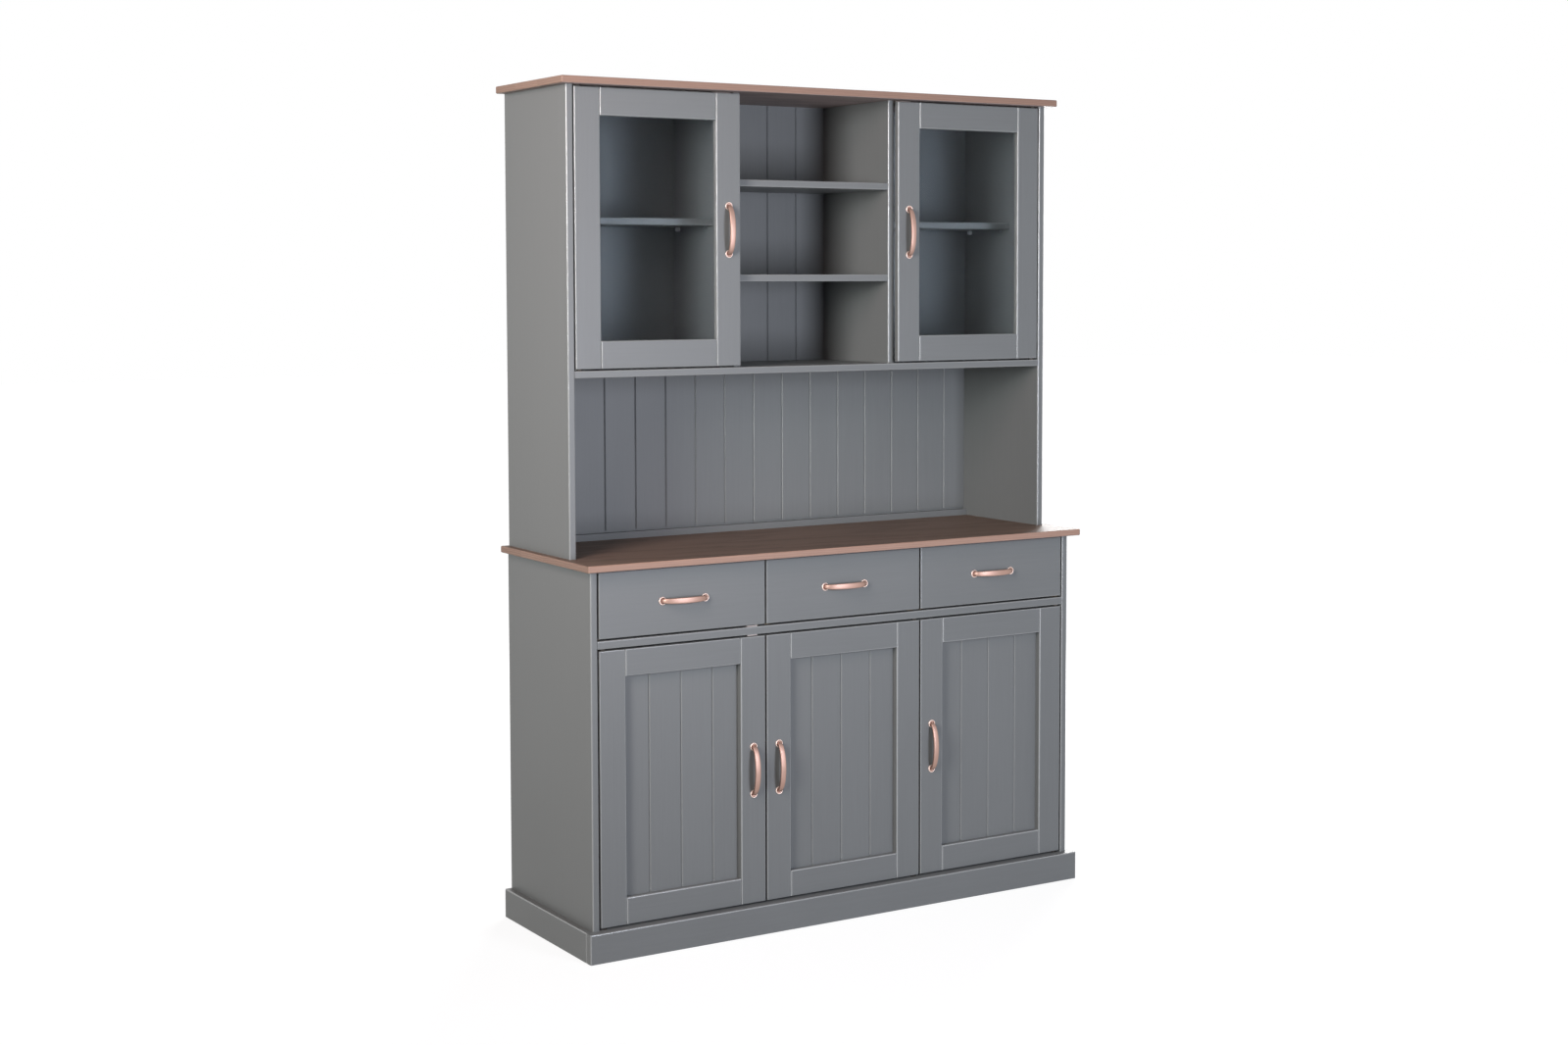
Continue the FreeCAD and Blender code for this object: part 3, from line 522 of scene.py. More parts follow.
def metal_satin_group():
    """Satin metal: fine lines drawn along the first map axis, and a cloudier slow change of polish."""
    tree, given, result = new_group(
        "Metal satin", ("Map", "Place", "Colour", "Roughness"), ("Colour", "Roughness", "Height"))
    lines = noise(tree, vector_sums(tree, "MULTIPLY", given["Map"], LINE_STRETCH), roughness=0.6)
    cloud = noise(tree, given["Place"], scale=55.0)
    feed(tree, result["Colour"], scaled(tree, given["Colour"], varied(tree, cloud, CLOUD_TONE)))
    polish = varied(tree, lines, LINE_SHEEN, given["Roughness"])
    feed(tree, result["Roughness"], varied(tree, cloud, CLOUD_SHEEN, polish))
    feed(tree, result["Height"], lines)


def eased_edge_group():
    """Where a board's edge is eased its normal leaves the axes: 1 - the normal's largest part, stepped."""
    tree, given, result = new_group("Eased edge", ("Normal",), ("Mask",))
    x, y, z = split(tree, vector_sums(tree, "ABSOLUTE", given["Normal"]))
    largest = sums(tree, "MAXIMUM", sums(tree, "MAXIMUM", x, y), z)
    feed(tree, result["Mask"], remap(tree, sums(tree, "SUBTRACT", 1.0, largest), *EASE_STEP))


GROUPS = (paint_film_group, edge_rub_group, board_joints_group, pine_grain_group, metal_satin_group,
          eased_edge_group)


def new_material(name):
    """An empty node material: its material, tree, Principled shader and Object coordinates."""
    material = bpy.data.materials.new(name)
    material.use_nodes = True
    tree = material.node_tree
    shader = tree.nodes["Principled BSDF"]
    place = tree.nodes.new("ShaderNodeTexCoord").outputs["Object"]
    return material, tree, shader, place


def set_inputs(tree, shader, values):
    """Feed a shader's inputs by their names."""
    for label, value in values.items():
        feed(tree, shader.inputs[label], value)


def add_bump(tree, shader, height, strength, distance):
    """A bump from a height into the shader's normal."""
    bump = tree.nodes.new("ShaderNodeBump")
    set_inputs(tree, bump, {"Strength": strength, "Distance": distance, "Height": height})
    feed(tree, shader.inputs["Normal"], bump.outputs["Normal"])


def dress(material, *nodes):
    """Give CAD nodes one material."""
    for node in nodes:
        slots = NODES[node].data.materials
        slots.clear()
        slots.append(material)


def brush_way(tree, place, stretch, other_stretch, span):
    """The brush's stretch, which is the other one between two x limits."""
    turn = tree.nodes.new("ShaderNodeMix")
    turn.data_type = "VECTOR"
    within = inside_of(tree, split(tree, place)[0], *span)
    feed(tree, turn.inputs[0], sums(tree, "GREATER_THAN", within, 0.0))
    feed(tree, turn.inputs[4], stretch)
    feed(tree, turn.inputs[5], other_stretch)
    return turn.outputs[1]


def gap_shade(tree, place, low, high, edge):
    """Mask of painted shade: where an eased edge lies in the gap round a front, close to the x or z limits of
    the front's box.
    """
    x, _, z = split(tree, place)
    inset = sums(tree, "MINIMUM", inside_of(tree, x, low.x, high.x), inside_of(tree, z, low.z, high.z))
    return sums(tree, "MULTIPLY", edge, remap(tree, inset, 0.0, GAP_SHADE_WIDTH, 1.0, 0.0))


def rubbed(tree, place, node, colour, width, pale, amount):
    """A colour that is rubbed paler along the edges of a node's box."""
    low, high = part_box(node)
    rub = place_group(tree, "Edge rub", vector=place, low=low, high=high, width=width, amount=amount)
    return blended(tree, rub["Mask"], colour, scaled(tree, colour, pale))


def painted(node, finish, stretch, other_stretch=None, span=None, joints=None, polish=1.0, paint_gap_shade=False):
    """Paint for one node. Inside span, a pair of x limits, the brush runs the other way; joints gives a
    middle, a pitch and a width of grooves between upright boards, darkened as painted shade; polish is the
    share of the edges' polish and of their painted highlight, a paler paint colour, that it gets;
    paint_gap_shade darkens the eased edges round the whole front as painted shade of the gap."""
    material, tree, shader, place = new_material("paint_" + node)
    if span is not None:
        stretch = brush_way(tree, place, stretch, other_stretch, span)
    film = place_group(tree, "Paint film", vector=place, stretch=stretch, colour=finish.paint,
                       streak=finish.paint_streak, mottle=finish.paint_mottle,
                       roughness=finish.paint_roughness)
    colour = film["Colour"]
    if joints is not None:
        middle, pitch, width = joints
        boards = place_group(tree, "Board joints", vector=place, middle=middle, pitch=pitch, width=width)
        # Painted shade: the panels' grooves are darkened in colour.
        groove_shade = remap(tree, boards["Groove"], 0.0, 1.0, 1.0, PAINTED_GROOVE_SHADE, smooth=False)
        tone = sums(tree, "MULTIPLY", varied(tree, boards["Tone"], BOARD_TONE), groove_shade)
        colour = scaled(tree, colour, tone)
    edge = place_group(tree, "Eased edge", normal=place.node.outputs["Normal"])["Mask"]
    if paint_gap_shade:
        # Painted shade: the eased edges round the front, which lie in the gap, are darkened in colour.
        shade = gap_shade(tree, place, *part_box(node), edge)
        colour = scaled(tree, colour, sums(tree, "MULTIPLY_ADD", shade, -GAP_SHADE, 1.0))
        edge = sums(tree, "SUBTRACT", edge, shade)
    # Painted highlight: the eased edges get a paler paint colour, scaled by polish.
    colour = scaled(tree, colour, sums(tree, "MULTIPLY_ADD", edge, finish.edge_highlight_tone * polish, 1.0))
    colour = rubbed(tree, place, node, colour, *PAINT_RUB, finish.edge_rub)
    coat = sums(tree, "MULTIPLY", edge, min(finish.edge_polish * polish, 1.0))
    set_inputs(tree, shader, {
        "Base Color": colour, "Roughness": film["Roughness"], "Specular IOR Level": PAINT_SPECULAR,
        "Coat Weight": coat, "Coat Roughness": EDGE_COAT_ROUGHNESS, "Coat IOR": EDGE_COAT_IOR})
    add_bump(tree, shader, film["Height"], *PAINT_BUMP)
    dress(material, node)


def stained(name, node, finish, edge_highlight_tone):
    """Stained pine, its grain along X: dark late wood, a paler front edge, partly painted highlight, and
    darker end grain.
    """
    material, tree, shader, place = new_material(name)
    low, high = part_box(node)
    grain = place_group(tree, "Pine grain", vector=place, **STAINED_PINE)
    x, y, z = split(tree, place)
    front = remap(tree, sums(tree, "SUBTRACT", y, low.y), *FRONT_FADE, 1.0, 0.0)
    under = remap(tree, sums(tree, "SUBTRACT", z, low.z), *UNDER_FADE, 1.0, 0.0)
    end = remap(tree, inside_of(tree, x, low.x, high.x), *END_FADE, 1.0, 0.0)
    # Partly painted highlight: the front edge gets the paler edge colour.
    edge = tuple(part * edge_highlight_tone for part in finish.stain_edge_and_highlight)
    colour = blended(tree, front, finish.stain, edge)
    colour = blended(tree, under, colour, finish.stain_under)
    colour = blended(tree, end, colour, finish.stain_end)
    on_edge = sums(tree, "SUBTRACT", front, end)
    ring_depth = remap(tree, on_edge, 0.0, 1.0, FACE_RING_DEPTH, EDGE_RING_DEPTH, smooth=False)
    rings = sums(tree, "MULTIPLY_ADD", grain["Ring"], ring_depth, EARLY_WOOD)
    tone = sums(tree, "MULTIPLY", rings, varied(tree, grain["Fibre"], STAINED_FIBRES))
    tone = sums(tree, "MULTIPLY", tone, varied(tree, grain["Tone"], STAVE_TONE))
    colour = rubbed(tree, place, node, scaled(tree, colour, tone), *STAIN_RUB, finish.edge_rub)
    set_inputs(tree, shader, {
        "Base Color": colour, "Specular IOR Level": STAIN_SPECULAR,
        "Roughness": varied(tree, grain["Fibre"], STAIN_SHEEN, STAIN_ROUGHNESS)})
    add_bump(tree, shader, sums(tree, "ADD", grain["Fibre"], grain["Ring"]), *STAIN_BUMP)
    dress(material, node)


def raw_pine(name, nodes, colour, turn):
    """Bare pine, planed but not sealed, with its grain turned to run along a piece."""
    material, tree, shader, place = new_material(name)
    mapping = tree.nodes.new("ShaderNodeMapping")
    set_inputs(tree, mapping, {"Vector": place, "Rotation": turn})
    grain = place_group(tree, "Pine grain", vector=mapping.outputs[0], **RAW_PINE)
    late = sums(tree, "MULTIPLY", grain["Ring"], RAW_RINGS)
    wood = blended(tree, late, colour, scaled(tree, colour, RAW_LATE_TONE))
    set_inputs(tree, shader, {
        "Base Color": scaled(tree, wood, varied(tree, grain["Fibre"], RAW_FIBRES)),
        "Roughness": varied(tree, grain["Fibre"], RAW_SHEEN, RAW_ROUGHNESS)})
    add_bump(tree, shader, grain["Fibre"], *RAW_BUMP)
    dress(material, *nodes)


def plated_steel(name, nodes, colour, roughness):
    """Plated or browned steel: a cloudy change of tone and polish."""
    material, tree, shader, place = new_material(name)
    satin = place_group(tree, "Metal satin", map=place, place=place, colour=colour, roughness=roughness)
    set_inputs(tree, shader, {
        "Base Color": satin["Colour"], "Roughness": satin["Roughness"], "Metallic": 1.0})
    add_bump(tree, shader, satin["Height"], *STEEL_BUMP)
    dress(material, *nodes)


def moulded_plastic(name, nodes, colour):
    """Moulded plastic with a fine spark texture."""
    material, tree, shader, place = new_material(name)
    spark = noise(tree, place, scale=1400.0, detail=2.0, roughness=0.5)
    cloud = noise(tree, place, scale=30.0, detail=2.0, roughness=0.5)
    set_inputs(tree, shader, {
        "Base Color": scaled(tree, colour, varied(tree, cloud, PLASTIC_TONE)),
        "Roughness": varied(tree, spark, PLASTIC_SHEEN, PLASTIC_ROUGHNESS)})
    add_bump(tree, shader, spark, *PLASTIC_BUMP)
    dress(material, *nodes)
    return material


def clear_glass(name, nodes, colour):
    """Clear float glass that lets the lamps through, with a trace of wiping left in its polish."""
    material, tree, shader, place = new_material(name)
    wiped = noise(tree, vector_sums(tree, "MULTIPLY", place, WIPE_STRETCH), detail=4.0, roughness=0.6,
                  distortion=1.2)
    set_inputs(tree, shader, {
        "Base Color": colour, "Transmission Weight": 1.0, "IOR": GLASS_IOR, "Specular Tint": GLASS_GLARE,
        "Roughness": remap(tree, wiped, *WIPE_STEP, 0.0, WIPE_ROUGHNESS)})
    path = tree.nodes.new("ShaderNodeLightPath")
    clear = tree.nodes.new("ShaderNodeBsdfTransparent")
    feed(tree, clear.inputs["Color"], colour)
    mix = tree.nodes.new("ShaderNodeMixShader")
    feed(tree, mix.inputs[0], path.outputs["Is Shadow Ray"])
    feed(tree, mix.inputs[1], shader.outputs[0])
    feed(tree, mix.inputs[2], clear.outputs[0])
    feed(tree, tree.nodes["Material Output"].inputs["Surface"], mix.outputs[0])
    dress(material, *nodes)


def rose_metal(finish, handle):
    """Satin rose metal of the handles: fine lines along the grip, a cloudy polish and paler rims on the foot
    plates, a painted highlight; the plates' map keeps their radius beyond RIM_MAP."""
    material, tree, shader, place = new_material("rose_metal_satin")
    grip = tree.nodes.new("ShaderNodeUVMap")
    grip.uv_map = "grip"
    satin = place_group(tree, "Metal satin", map=grip.outputs[0], place=place, colour=finish.rose_metal,
                        roughness=ROSE_ROUGHNESS)
    radius = sums(tree, "SUBTRACT", split(tree, grip.outputs[0])[1], RIM_MAP)
    # Painted highlight: the plates' rims get a paler metal colour.
    rim = remap(tree, radius, *(part * handle.rosette_diameter / 2 for part in RIM_STEP))
    set_inputs(tree, shader, {
        "Base Color": blended(tree, rim, satin["Colour"], finish.rim), "Roughness": satin["Roughness"],
        "Metallic": 1.0})
    add_bump(tree, shader, satin["Height"], *ROSE_BUMP)
    return material


def full_turn(points):
    """Angles evenly round a circle."""
    return np.linspace(0.0, 2 * math.pi, points, endpoint=False)


def signed_power(values, exponent):
    """Each value's size raised to a power, with its sign kept."""
    return np.sign(values) * np.abs(values) ** exponent


def grid_faces(rows, columns, first):
    """Quads of a grid of rows by columns points that closes round its columns, numbered from first."""
    row, column = np.meshgrid(np.arange(rows - 1), np.arange(columns), indexing="ij")
    after = (column + 1) % columns
    quads = np.stack([row * columns + column, row * columns + after, (row + 1) * columns + after,
                      (row + 1) * columns + column], axis=-1)
    return quads.reshape(-1, 4) + first


def bow_grip(handle):
    """The bow is half an ellipse: along = half x sin(t), out = foot + rise x cos(t), t from -90 to 90
    degrees. Round it runs a superellipse, |w/a|^n + |h/b|^n = 1, whose width, thickness and power n, from 2
    to 4, swell towards the middle with cos(t)^swell. Rows are (across, out, along) in metres, with the map's
    length and girth."""
    t = np.linspace(-math.pi / 2, math.pi / 2, handle.rings)
    half = handle.centres / 2
    foot = handle.rosette_thickness * FOOT_HEIGHT
    rise = handle.reach - handle.grip_thickness / 2 - foot
    along = half * np.sin(t)
    out = foot + rise * np.cos(t)
    step_along, step_out = np.gradient(along), np.gradient(out)
    size = np.hypot(step_along, step_out)
    normal_along, normal_out = -step_out / size, step_along / size
    middle = np.clip(np.cos(t), 0.0, 1.0) ** handle.swell
    a = (handle.end_width + (handle.grip_width - handle.end_width) * middle) / 2
    b = (handle.end_thickness + (handle.grip_thickness - handle.end_thickness) * middle) / 2
    exponent = 2.0 / (2.0 + 2.0 * middle)
    turn = full_turn(handle.around)
    w = a[:, None] * signed_power(np.cos(turn)[None, :], exponent[:, None])
    h = b[:, None] * signed_power(np.sin(turn)[None, :], exponent[:, None])
    points = np.stack([w, out[:, None] + h * normal_out[:, None], along[:, None] + h * normal_along[:, None]],
                      axis=-1)
    points[..., 1] = np.maximum(points[..., 1], 0.0)
    girth = np.broadcast_to(turn * GIRTH_RADIUS, w.shape)
    length_map = np.broadcast_to(np.cumsum(size)[:, None], w.shape)
    return points, np.stack([length_map, girth], axis=-1)


def rosette(handle, centre):
    """A foot plate: its profile turned about the foot's axis. From the wall it rises to a rounded rim and
    dips into a shallow dish, in which the bow stands."""
    profile = np.array(ROSETTE_PROFILE)
    radius = profile[:, 0] * handle.rosette_diameter / 2
    height = profile[:, 1] * handle.rosette_thickness
    turn = full_turn(handle.around)
    across = radius[:, None] * np.cos(turn)[None, :]
    along = centre - radius[:, None] * np.sin(turn)[None, :]
    points = np.stack([across, np.broadcast_to(height[:, None], across.shape), along], axis=-1)
    around = np.broadcast_to(turn * PLATE_RADIUS, across.shape)
    return points, np.stack([around, np.broadcast_to(RIM_MAP + radius[:, None], across.shape)], axis=-1)


def placed(context, name, data):
    """A new object of the scene for a mesh, a lamp or a camera."""
    holder = bpy.data.objects.new(name, data)
    context.scene.collection.objects.link(holder)
    return holder


def close_poles(mesh):
    """Merge the points that meet at a pole and turn every face outwards."""
    shells = bmesh.new()
    shells.from_mesh(mesh)
    bmesh.ops.remove_doubles(shells, verts=shells.verts, dist=1e-6)
    bmesh.ops.recalc_face_normals(shells, faces=shells.faces)
    shells.to_mesh(mesh)
    shells.free()


def handle_mesh(name, handle, place, axes):
    """One handle's mesh: the bow and its two rosettes, set at a place on a front by its across, out and along
    axes."""
    half = handle.centres / 2
    shells = [bow_grip(handle), rosette(handle, -half), rosette(handle, half)]
    points, faces, maps = [], [], []
    first = 0
    for shell, shell_map in shells:
        rows, columns = shell.shape[:2]
        points.append(shell.reshape(-1, 3))
        maps.append(shell_map.reshape(-1, 2))
        faces.append(grid_faces(rows, columns, first))
        first += rows * columns
    points = np.concatenate(points) @ np.array(axes, float) + np.array(place, float)
    faces = np.concatenate(faces)
    ends = [list(range(handle.around))[::-1],
            list(range((handle.rings - 1) * handle.around, handle.rings * handle.around))]
    mesh = bpy.data.meshes.new(name)
    mesh.from_pydata(points.tolist(), [], faces.tolist() + ends)
    corners = np.empty(len(mesh.loops), np.int64)
    mesh.loops.foreach_get("vertex_index", corners)
    grip = mesh.uv_layers.new(name="grip")
    grip.data.foreach_set("uv", np.concatenate(maps)[corners].astype(np.float32).ravel())
    close_poles(mesh)
    mesh.polygons.foreach_set("use_smooth", np.ones(len(mesh.polygons), bool))
    mesh.update()
    return mesh


def rear_pins(node):
    """The rear pin row of every shelf as rows (free end, way out of the wall, y, top). Pins lie along X, so a
    level's rearmost points are taken, and their x values, two by two, are the ends of the pins in turn."""
    mesh = NODES[node].data
    points = np.empty(len(mesh.vertices) * 3)
    mesh.vertices.foreach_get("co", points)
    points = points.reshape(-1, 3)
    order = np.sort(points[:, 2])
    levels = np.split(order, np.flatnonzero(np.diff(order) > PIN_LEVEL_GAP) + 1)
    pins = []
    for level in levels:
        row = points[(points[:, 2] >= level[0]) & (points[:, 2] <= level[-1])]
        row = row[row[:, 1] > row[:, 1].max() - PIN_ROW]
        middle = (row[:, 1].min() + row[:, 1].max()) / 2
        ends = np.unique(np.round(row[:, 0], 4)).reshape(-1, 2)
        for index, (left, right) in enumerate(ends):
            way = -1 if index % 2 else 1
            pins.append((right if way > 0 else left, way, middle, level[-1]))
    return pins


def pin_head(pin, free_end, way, y, top):
    """A shelf pin's head: a profile of radius and reach, with a quarter round at its rim, turned about the X
    axis. Its top lies under the shelf, and its foot stands on the wall."""
    big = pin.diameter / 2
    corner = np.linspace(0.0, math.pi / 2, FILLET_POINTS)
    radius = np.concatenate([[0.0, big], big - pin.fillet * (1 - np.cos(corner)), [0.0]])
    out = np.concatenate([[0.0, 0.0], pin.reach - pin.fillet * (1 - np.sin(corner)), [pin.reach]])
    turn = full_turn(pin.around)
    foot = free_end - way * PIN_REACH
    x = np.broadcast_to((foot + way * out)[:, None], (len(out), pin.around))
    depth = y + radius[:, None] * np.cos(turn)
    height = top - big + radius[:, None] * np.sin(turn)
    return np.stack([x, depth, height], axis=-1)


class BUFFET_OT_mix_finishes(bpy.types.Operator):
    """Builds the shared finish effects as node groups"""

    bl_idname = "buffet.mix_finishes"
    bl_label = "Mix finishes"

    def execute(self, context):
        for build in GROUPS:
            build()
        return {"FINISHED"}


class BUFFET_OT_paint_carcass(bpy.types.Operator):
    """Paints the sides, boards, partitions, plinth and back panels"""

    bl_idname = "buffet.paint_carcass"
    bl_label = "Paint carcass"

    def execute(self, context):
        finish = context.scene.buffet_finish
        for node in UPRIGHT_BOARDS:
            painted(node, finish, UPRIGHT)
        for node in LEVEL_BOARDS:
            painted(node, finish, LEVEL)
        inner = abs(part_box("base_side_left")[0].x)
        painted("plinth_boards", finish, DEEP, LEVEL, (-inner, inner))
        painted("hutch_back_panel", finish, UPRIGHT, polish=GROOVE_POLISH)
        painted("base_back_panel", finish, UPRIGHT)
        return {"FINISHED"}


class BUFFET_OT_stain_tops(bpy.types.Operator):
    """Stains the worktop and the hutch top"""

    bl_idname = "buffet.stain_tops"
    bl_label = "Stain tops"

    def execute(self, context):
        for node, edge_highlight_tone in STAINED_BOARDS.items():
            stained("stain_" + node, node, context.scene.buffet_finish, edge_highlight_tone)
        return {"FINISHED"}


class BUFFET_OT_finish_doors(bpy.types.Operator):
    """Paints the door frames, panels and beads, and glazes the glass doors"""

    bl_idname = "buffet.finish_doors"
    bl_label = "Finish doors"

    def execute(self, context):
        finish = context.scene.buffet_finish
        for door in BASE_DOORS + GLASS_DOORS:
            low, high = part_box(door + "_frame")
            panelled = door in BASE_DOORS
            stile = BASE_STILE if panelled else GLASS_STILE
            polish = BASE_FRAME_POLISH if panelled else GLASS_FRAME_POLISH
            painted(door + "_frame", finish, UPRIGHT, LEVEL, (low.x + stile, high.x - stile), polish=polish,
                    paint_gap_shade=panelled)
        for door in BASE_DOORS:
            low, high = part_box(door + "_panel")
            joints = ((low.x + high.x) / 2, PANEL_PITCH, PANEL_GROOVE)
            painted(door + "_panel", finish, UPRIGHT, joints=joints, polish=PANEL_POLISH)
        for door in GLASS_DOORS:
            painted(door + "_glazing_beads", finish, UPRIGHT)
        clear_glass("clear_glass", [door + "_glass" for door in GLASS_DOORS], finish.glass)
        return {"FINISHED"}


class BUFFET_OT_finish_drawers(bpy.types.Operator):
    """Paints the drawer fronts and leaves their boxes in bare pine"""

    bl_idname = "buffet.finish_drawers"
    bl_label = "Finish drawers"

    def execute(self, context):
        finish = context.scene.buffet_finish
        for drawer in DRAWERS:
            painted(drawer + "_front", finish, LEVEL, paint_gap_shade=True)
        lengthways = (0.0, 0.0, math.radians(90))
        raw_pine("raw_pine_boxes", [drawer + "_box" for drawer in DRAWERS], finish.pine, lengthways)
        raw_pine("raw_pine_bottoms", [drawer + "_bottom" for drawer in DRAWERS], finish.ply, (0.0, 0.0, 0.0))
        raw_pine("raw_pine_strips", PINE_NODES, finish.pine, lengthways)
        return {"FINISHED"}


class BUFFET_OT_finish_fittings(bpy.types.Operator):
    """Plates the pins, bushes, screws and door fittings, and moulds the catches"""

    bl_idname = "buffet.finish_fittings"
    bl_label = "Finish fittings"

    def execute(self, context):
        finish = context.scene.buffet_finish
        fittings = [door + "_fittings" for door in BASE_DOORS + GLASS_DOORS]
        screws = [drawer + "_screws" for drawer in DRAWERS]
        plated_steel("zinc_steel", list(STEEL_NODES) + fittings + screws, finish.steel, ZINC_ROUGHNESS)
        plated_steel("browned_steel", OXIDE_NODES, finish.oxide, OXIDE_ROUGHNESS)
        moulded_plastic("beige_plastic", PLASTIC_NODES, finish.plastic)
        return {"FINISHED"}


class BUFFET_OT_make_handles(bpy.types.Operator):
    """Makes a bow handle on every door and drawer"""

    bl_idname = "buffet.make_handles"
    bl_label = "Make handles"

    def execute(self, context):
        handle = context.scene.buffet_handle
        metal = rose_metal(context.scene.buffet_finish, handle)
        upright = ((-1, 0, 0), (0, -1, 0), (0, 0, 1))
        level = ((0, 0, 1), (0, -1, 0), (1, 0, 0))
        for piece in BASE_DOORS + GLASS_DOORS + DRAWERS:
            low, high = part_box(piece + "_handle")
            middle = (low + high) / 2
            axes = level if piece in DRAWERS else upright
            mesh = handle_mesh(piece + "_bow", handle, (middle.x, high.y, middle.z), axes)
            mesh.materials.append(metal)
            bow = placed(context, piece + "_bow", mesh)
            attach(bow, piece)
            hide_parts(piece + "_handle")
        return {"FINISHED"}


class BUFFET_OT_make_pin_heads(bpy.types.Operator):
    """Makes the round heads of the rear shelf pins"""

    bl_idname = "buffet.make_pin_heads"
    bl_label = "Make pin heads"

    def execute(self, context):
        pin = context.scene.buffet_shelf_pin
        heads = [pin_head(pin, *place) for place in rear_pins("shelf_pins")]
        rows = heads[0].shape[0]
        faces = [grid_faces(rows, pin.around, index * rows * pin.around) for index in range(len(heads))]
        mesh = bpy.data.meshes.new("shelf_pin_heads")
        mesh.from_pydata(np.concatenate(heads).reshape(-1, 3).tolist(), [], np.concatenate(faces).tolist())
        close_poles(mesh)
        mesh.materials.append(moulded_plastic("pale_plastic", (), context.scene.buffet_finish.pin_head))
        piece = placed(context, "shelf_pin_heads", mesh)
        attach(piece, "carcass")
        return {"FINISHED"}


def area_lamp(context, name, place, target, size, beam, watts, colour):
    """A rectangular softbox at a place, turned to a target, whose grid keeps its beam within an angle in
    degrees."""
    lamp = bpy.data.lights.new(name, "AREA")
    lamp.shape = "RECTANGLE"
    lamp.size, lamp.size_y = size
    lamp.spread = math.radians(beam)
    lamp.energy = watts
    lamp.color = colour
    holder = placed(context, name, lamp)
    holder.visible_camera = False
    way = np.array(target, float) - np.array(place, float)
    flat = math.hypot(way[0], way[1])
    holder.location = place
    holder.rotation_euler = (math.atan2(flat, -way[2]), 0.0, math.atan2(way[1], way[0]) - math.pi / 2)


def seen_directly(tree):
    """A mask that is 1 for rays that show the background itself, from the camera, a reflection or through
    glass, and 0 for rays that have met a matt surface, so that the background doesn't light the bays through
    their panes."""
    path = tree.nodes.new("ShaderNodeLightPath").outputs
    seen = sums(tree, "MAXIMUM", path["Is Camera Ray"], path["Is Glossy Ray"])
    seen = sums(tree, "MAXIMUM", seen, path["Is Transmission Ray"])
    return sums(tree, "MULTIPLY", seen, sums(tree, "LESS_THAN", path["Diffuse Depth"], 0.5))


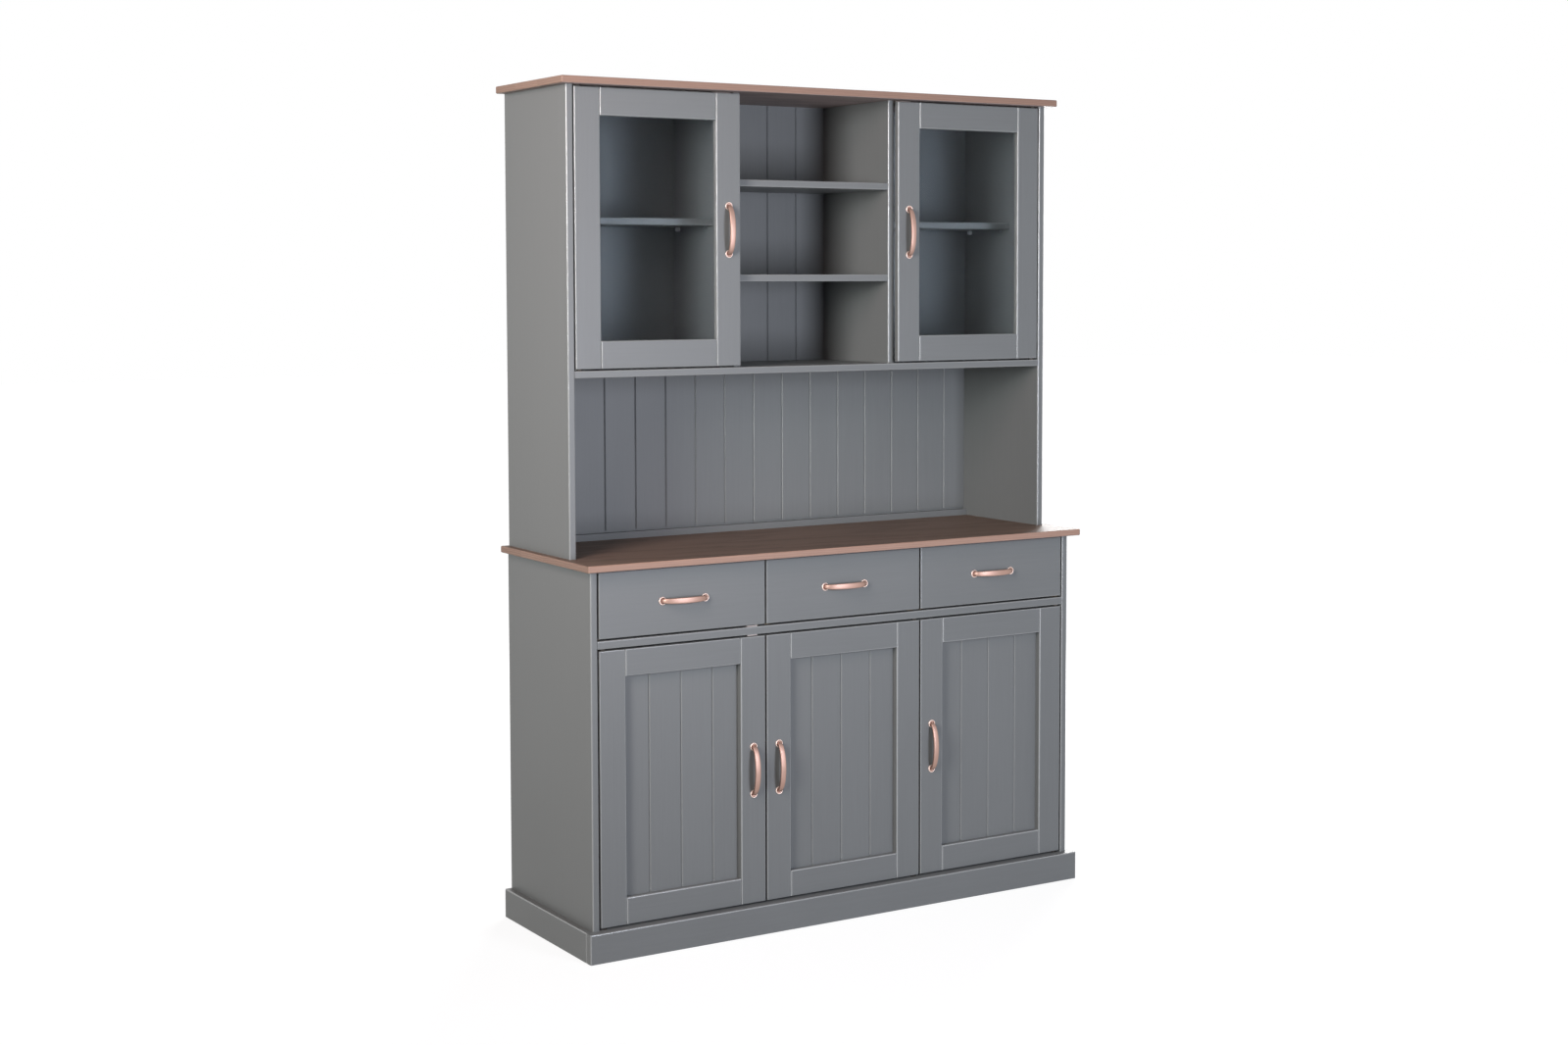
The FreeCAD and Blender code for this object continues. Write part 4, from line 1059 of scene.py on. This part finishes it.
class BUFFET_OT_set_stage(bpy.types.Operator):
    """Sets the floor, the soft lamps, the even fill and the camera"""

    bl_idname = "buffet.set_stage"
    bl_label = "Set stage"

    def execute(self, context):
        stage = context.scene.buffet_stage
        self.lay_floor(context, stage)
        self.light(context, stage)
        self.aim(context, stage)
        return {"FINISHED"}

    def lay_floor(self, context, stage):
        corners = [(x * FLOOR_REACH, y * FLOOR_REACH, 0.0) for x, y in ((-1, -1), (1, -1), (1, 1), (-1, 1))]
        mesh = bpy.data.meshes.new("studio_floor")
        mesh.from_pydata(corners, [], [(0, 1, 2, 3)])
        material, tree, shader, place = new_material("pale_floor")
        tone = varied(tree, noise(tree, place, scale=3.0, detail=2.0, roughness=0.5), FLOOR_TONE)
        glow = remap(tree, vector_length(tree, place), *FLOOR_GLOW_STEP, stage.floor_glow, 1.0)
        set_inputs(tree, shader, {
            "Base Color": scaled(tree, stage.floor, tone), "Roughness": FLOOR_ROUGHNESS,
            "Specular IOR Level": FLOOR_SPECULAR, "Emission Color": WHITE,
            "Emission Strength": sums(tree, "MULTIPLY", seen_directly(tree), glow)})
        mesh.materials.append(material)
        placed(context, "studio_floor", mesh)

    def light(self, context, stage):
        for name, (place, aim, size, beam, colour) in SOFTBOXES.items():
            watts = getattr(stage, name + "_light")
            area_lamp(context, name + "_softbox", place, aim, size, beam, watts, colour)
        world = bpy.data.worlds.new("studio")
        world.use_nodes = True
        context.scene.world = world
        tree = world.node_tree
        strength = remap(tree, seen_directly(tree), 0.0, 1.0, stage.fill, 1.0, smooth=False)
        set_inputs(tree, tree.nodes["Background"], {"Color": WHITE, "Strength": strength})

    def aim(self, context, stage):
        camera = bpy.data.cameras.new("photo_camera")
        camera.sensor_fit = "HORIZONTAL"
        camera.sensor_width = FRAME_WIDTH
        camera.lens = stage.lens
        camera.shift_y = stage.shift
        camera.clip_end = SIGHT
        holder = placed(context, "photo_camera", camera)
        holder.location = stage.camera_place
        holder.rotation_euler = stage.camera_turn
        context.scene.camera = holder
        context.scene.view_settings.view_transform = "Standard"


class BUFFET_PT_cabinet(bpy.types.Panel):
    """The cabinet's sizes, colours and steps in the sidebar"""

    bl_idname = "BUFFET_PT_cabinet"
    bl_label = "Buffet cabinet"
    bl_space_type = "VIEW_3D"
    bl_region_type = "UI"
    bl_category = "Buffet"

    def draw(self, context):
        layout = self.layout
        for step in STEPS:
            layout.operator(step.bl_idname)
        for name in GROUPS_OF_VALUES:
            group = getattr(context.scene, name)
            box = layout.box()
            for key in group.bl_rna.properties.keys():
                if key not in ("rna_type", "name"):
                    box.prop(group, key)


STEPS = (BUFFET_OT_mix_finishes, BUFFET_OT_paint_carcass, BUFFET_OT_stain_tops, BUFFET_OT_finish_doors,
         BUFFET_OT_finish_drawers, BUFFET_OT_finish_fittings, BUFFET_OT_make_handles,
         BUFFET_OT_make_pin_heads, BUFFET_OT_set_stage)
GROUPS_OF_VALUES = {"buffet_finish": BuffetFinish, "buffet_handle": BuffetHandle,
                    "buffet_shelf_pin": BuffetShelfPin, "buffet_stage": BuffetStage}


def register():
    for kind in (*GROUPS_OF_VALUES.values(), *STEPS, BUFFET_PT_cabinet):
        bpy.utils.register_class(kind)
    for key, kind in GROUPS_OF_VALUES.items():
        setattr(bpy.types.Scene, key, PointerProperty(type=kind))


def unregister():
    for key in GROUPS_OF_VALUES:
        delattr(bpy.types.Scene, key)
    for kind in reversed((*GROUPS_OF_VALUES.values(), *STEPS, BUFFET_PT_cabinet)):
        bpy.utils.unregister_class(kind)


def main():
    """Dress the cabinet step by step."""
    register()
    bpy.ops.buffet.mix_finishes()
    bpy.ops.buffet.paint_carcass()
    bpy.ops.buffet.stain_tops()
    bpy.ops.buffet.finish_doors()
    bpy.ops.buffet.finish_drawers()
    bpy.ops.buffet.finish_fittings()
    bpy.ops.buffet.make_handles()
    bpy.ops.buffet.make_pin_heads()
    bpy.ops.buffet.set_stage()


if __name__ == "__main__":
    main()
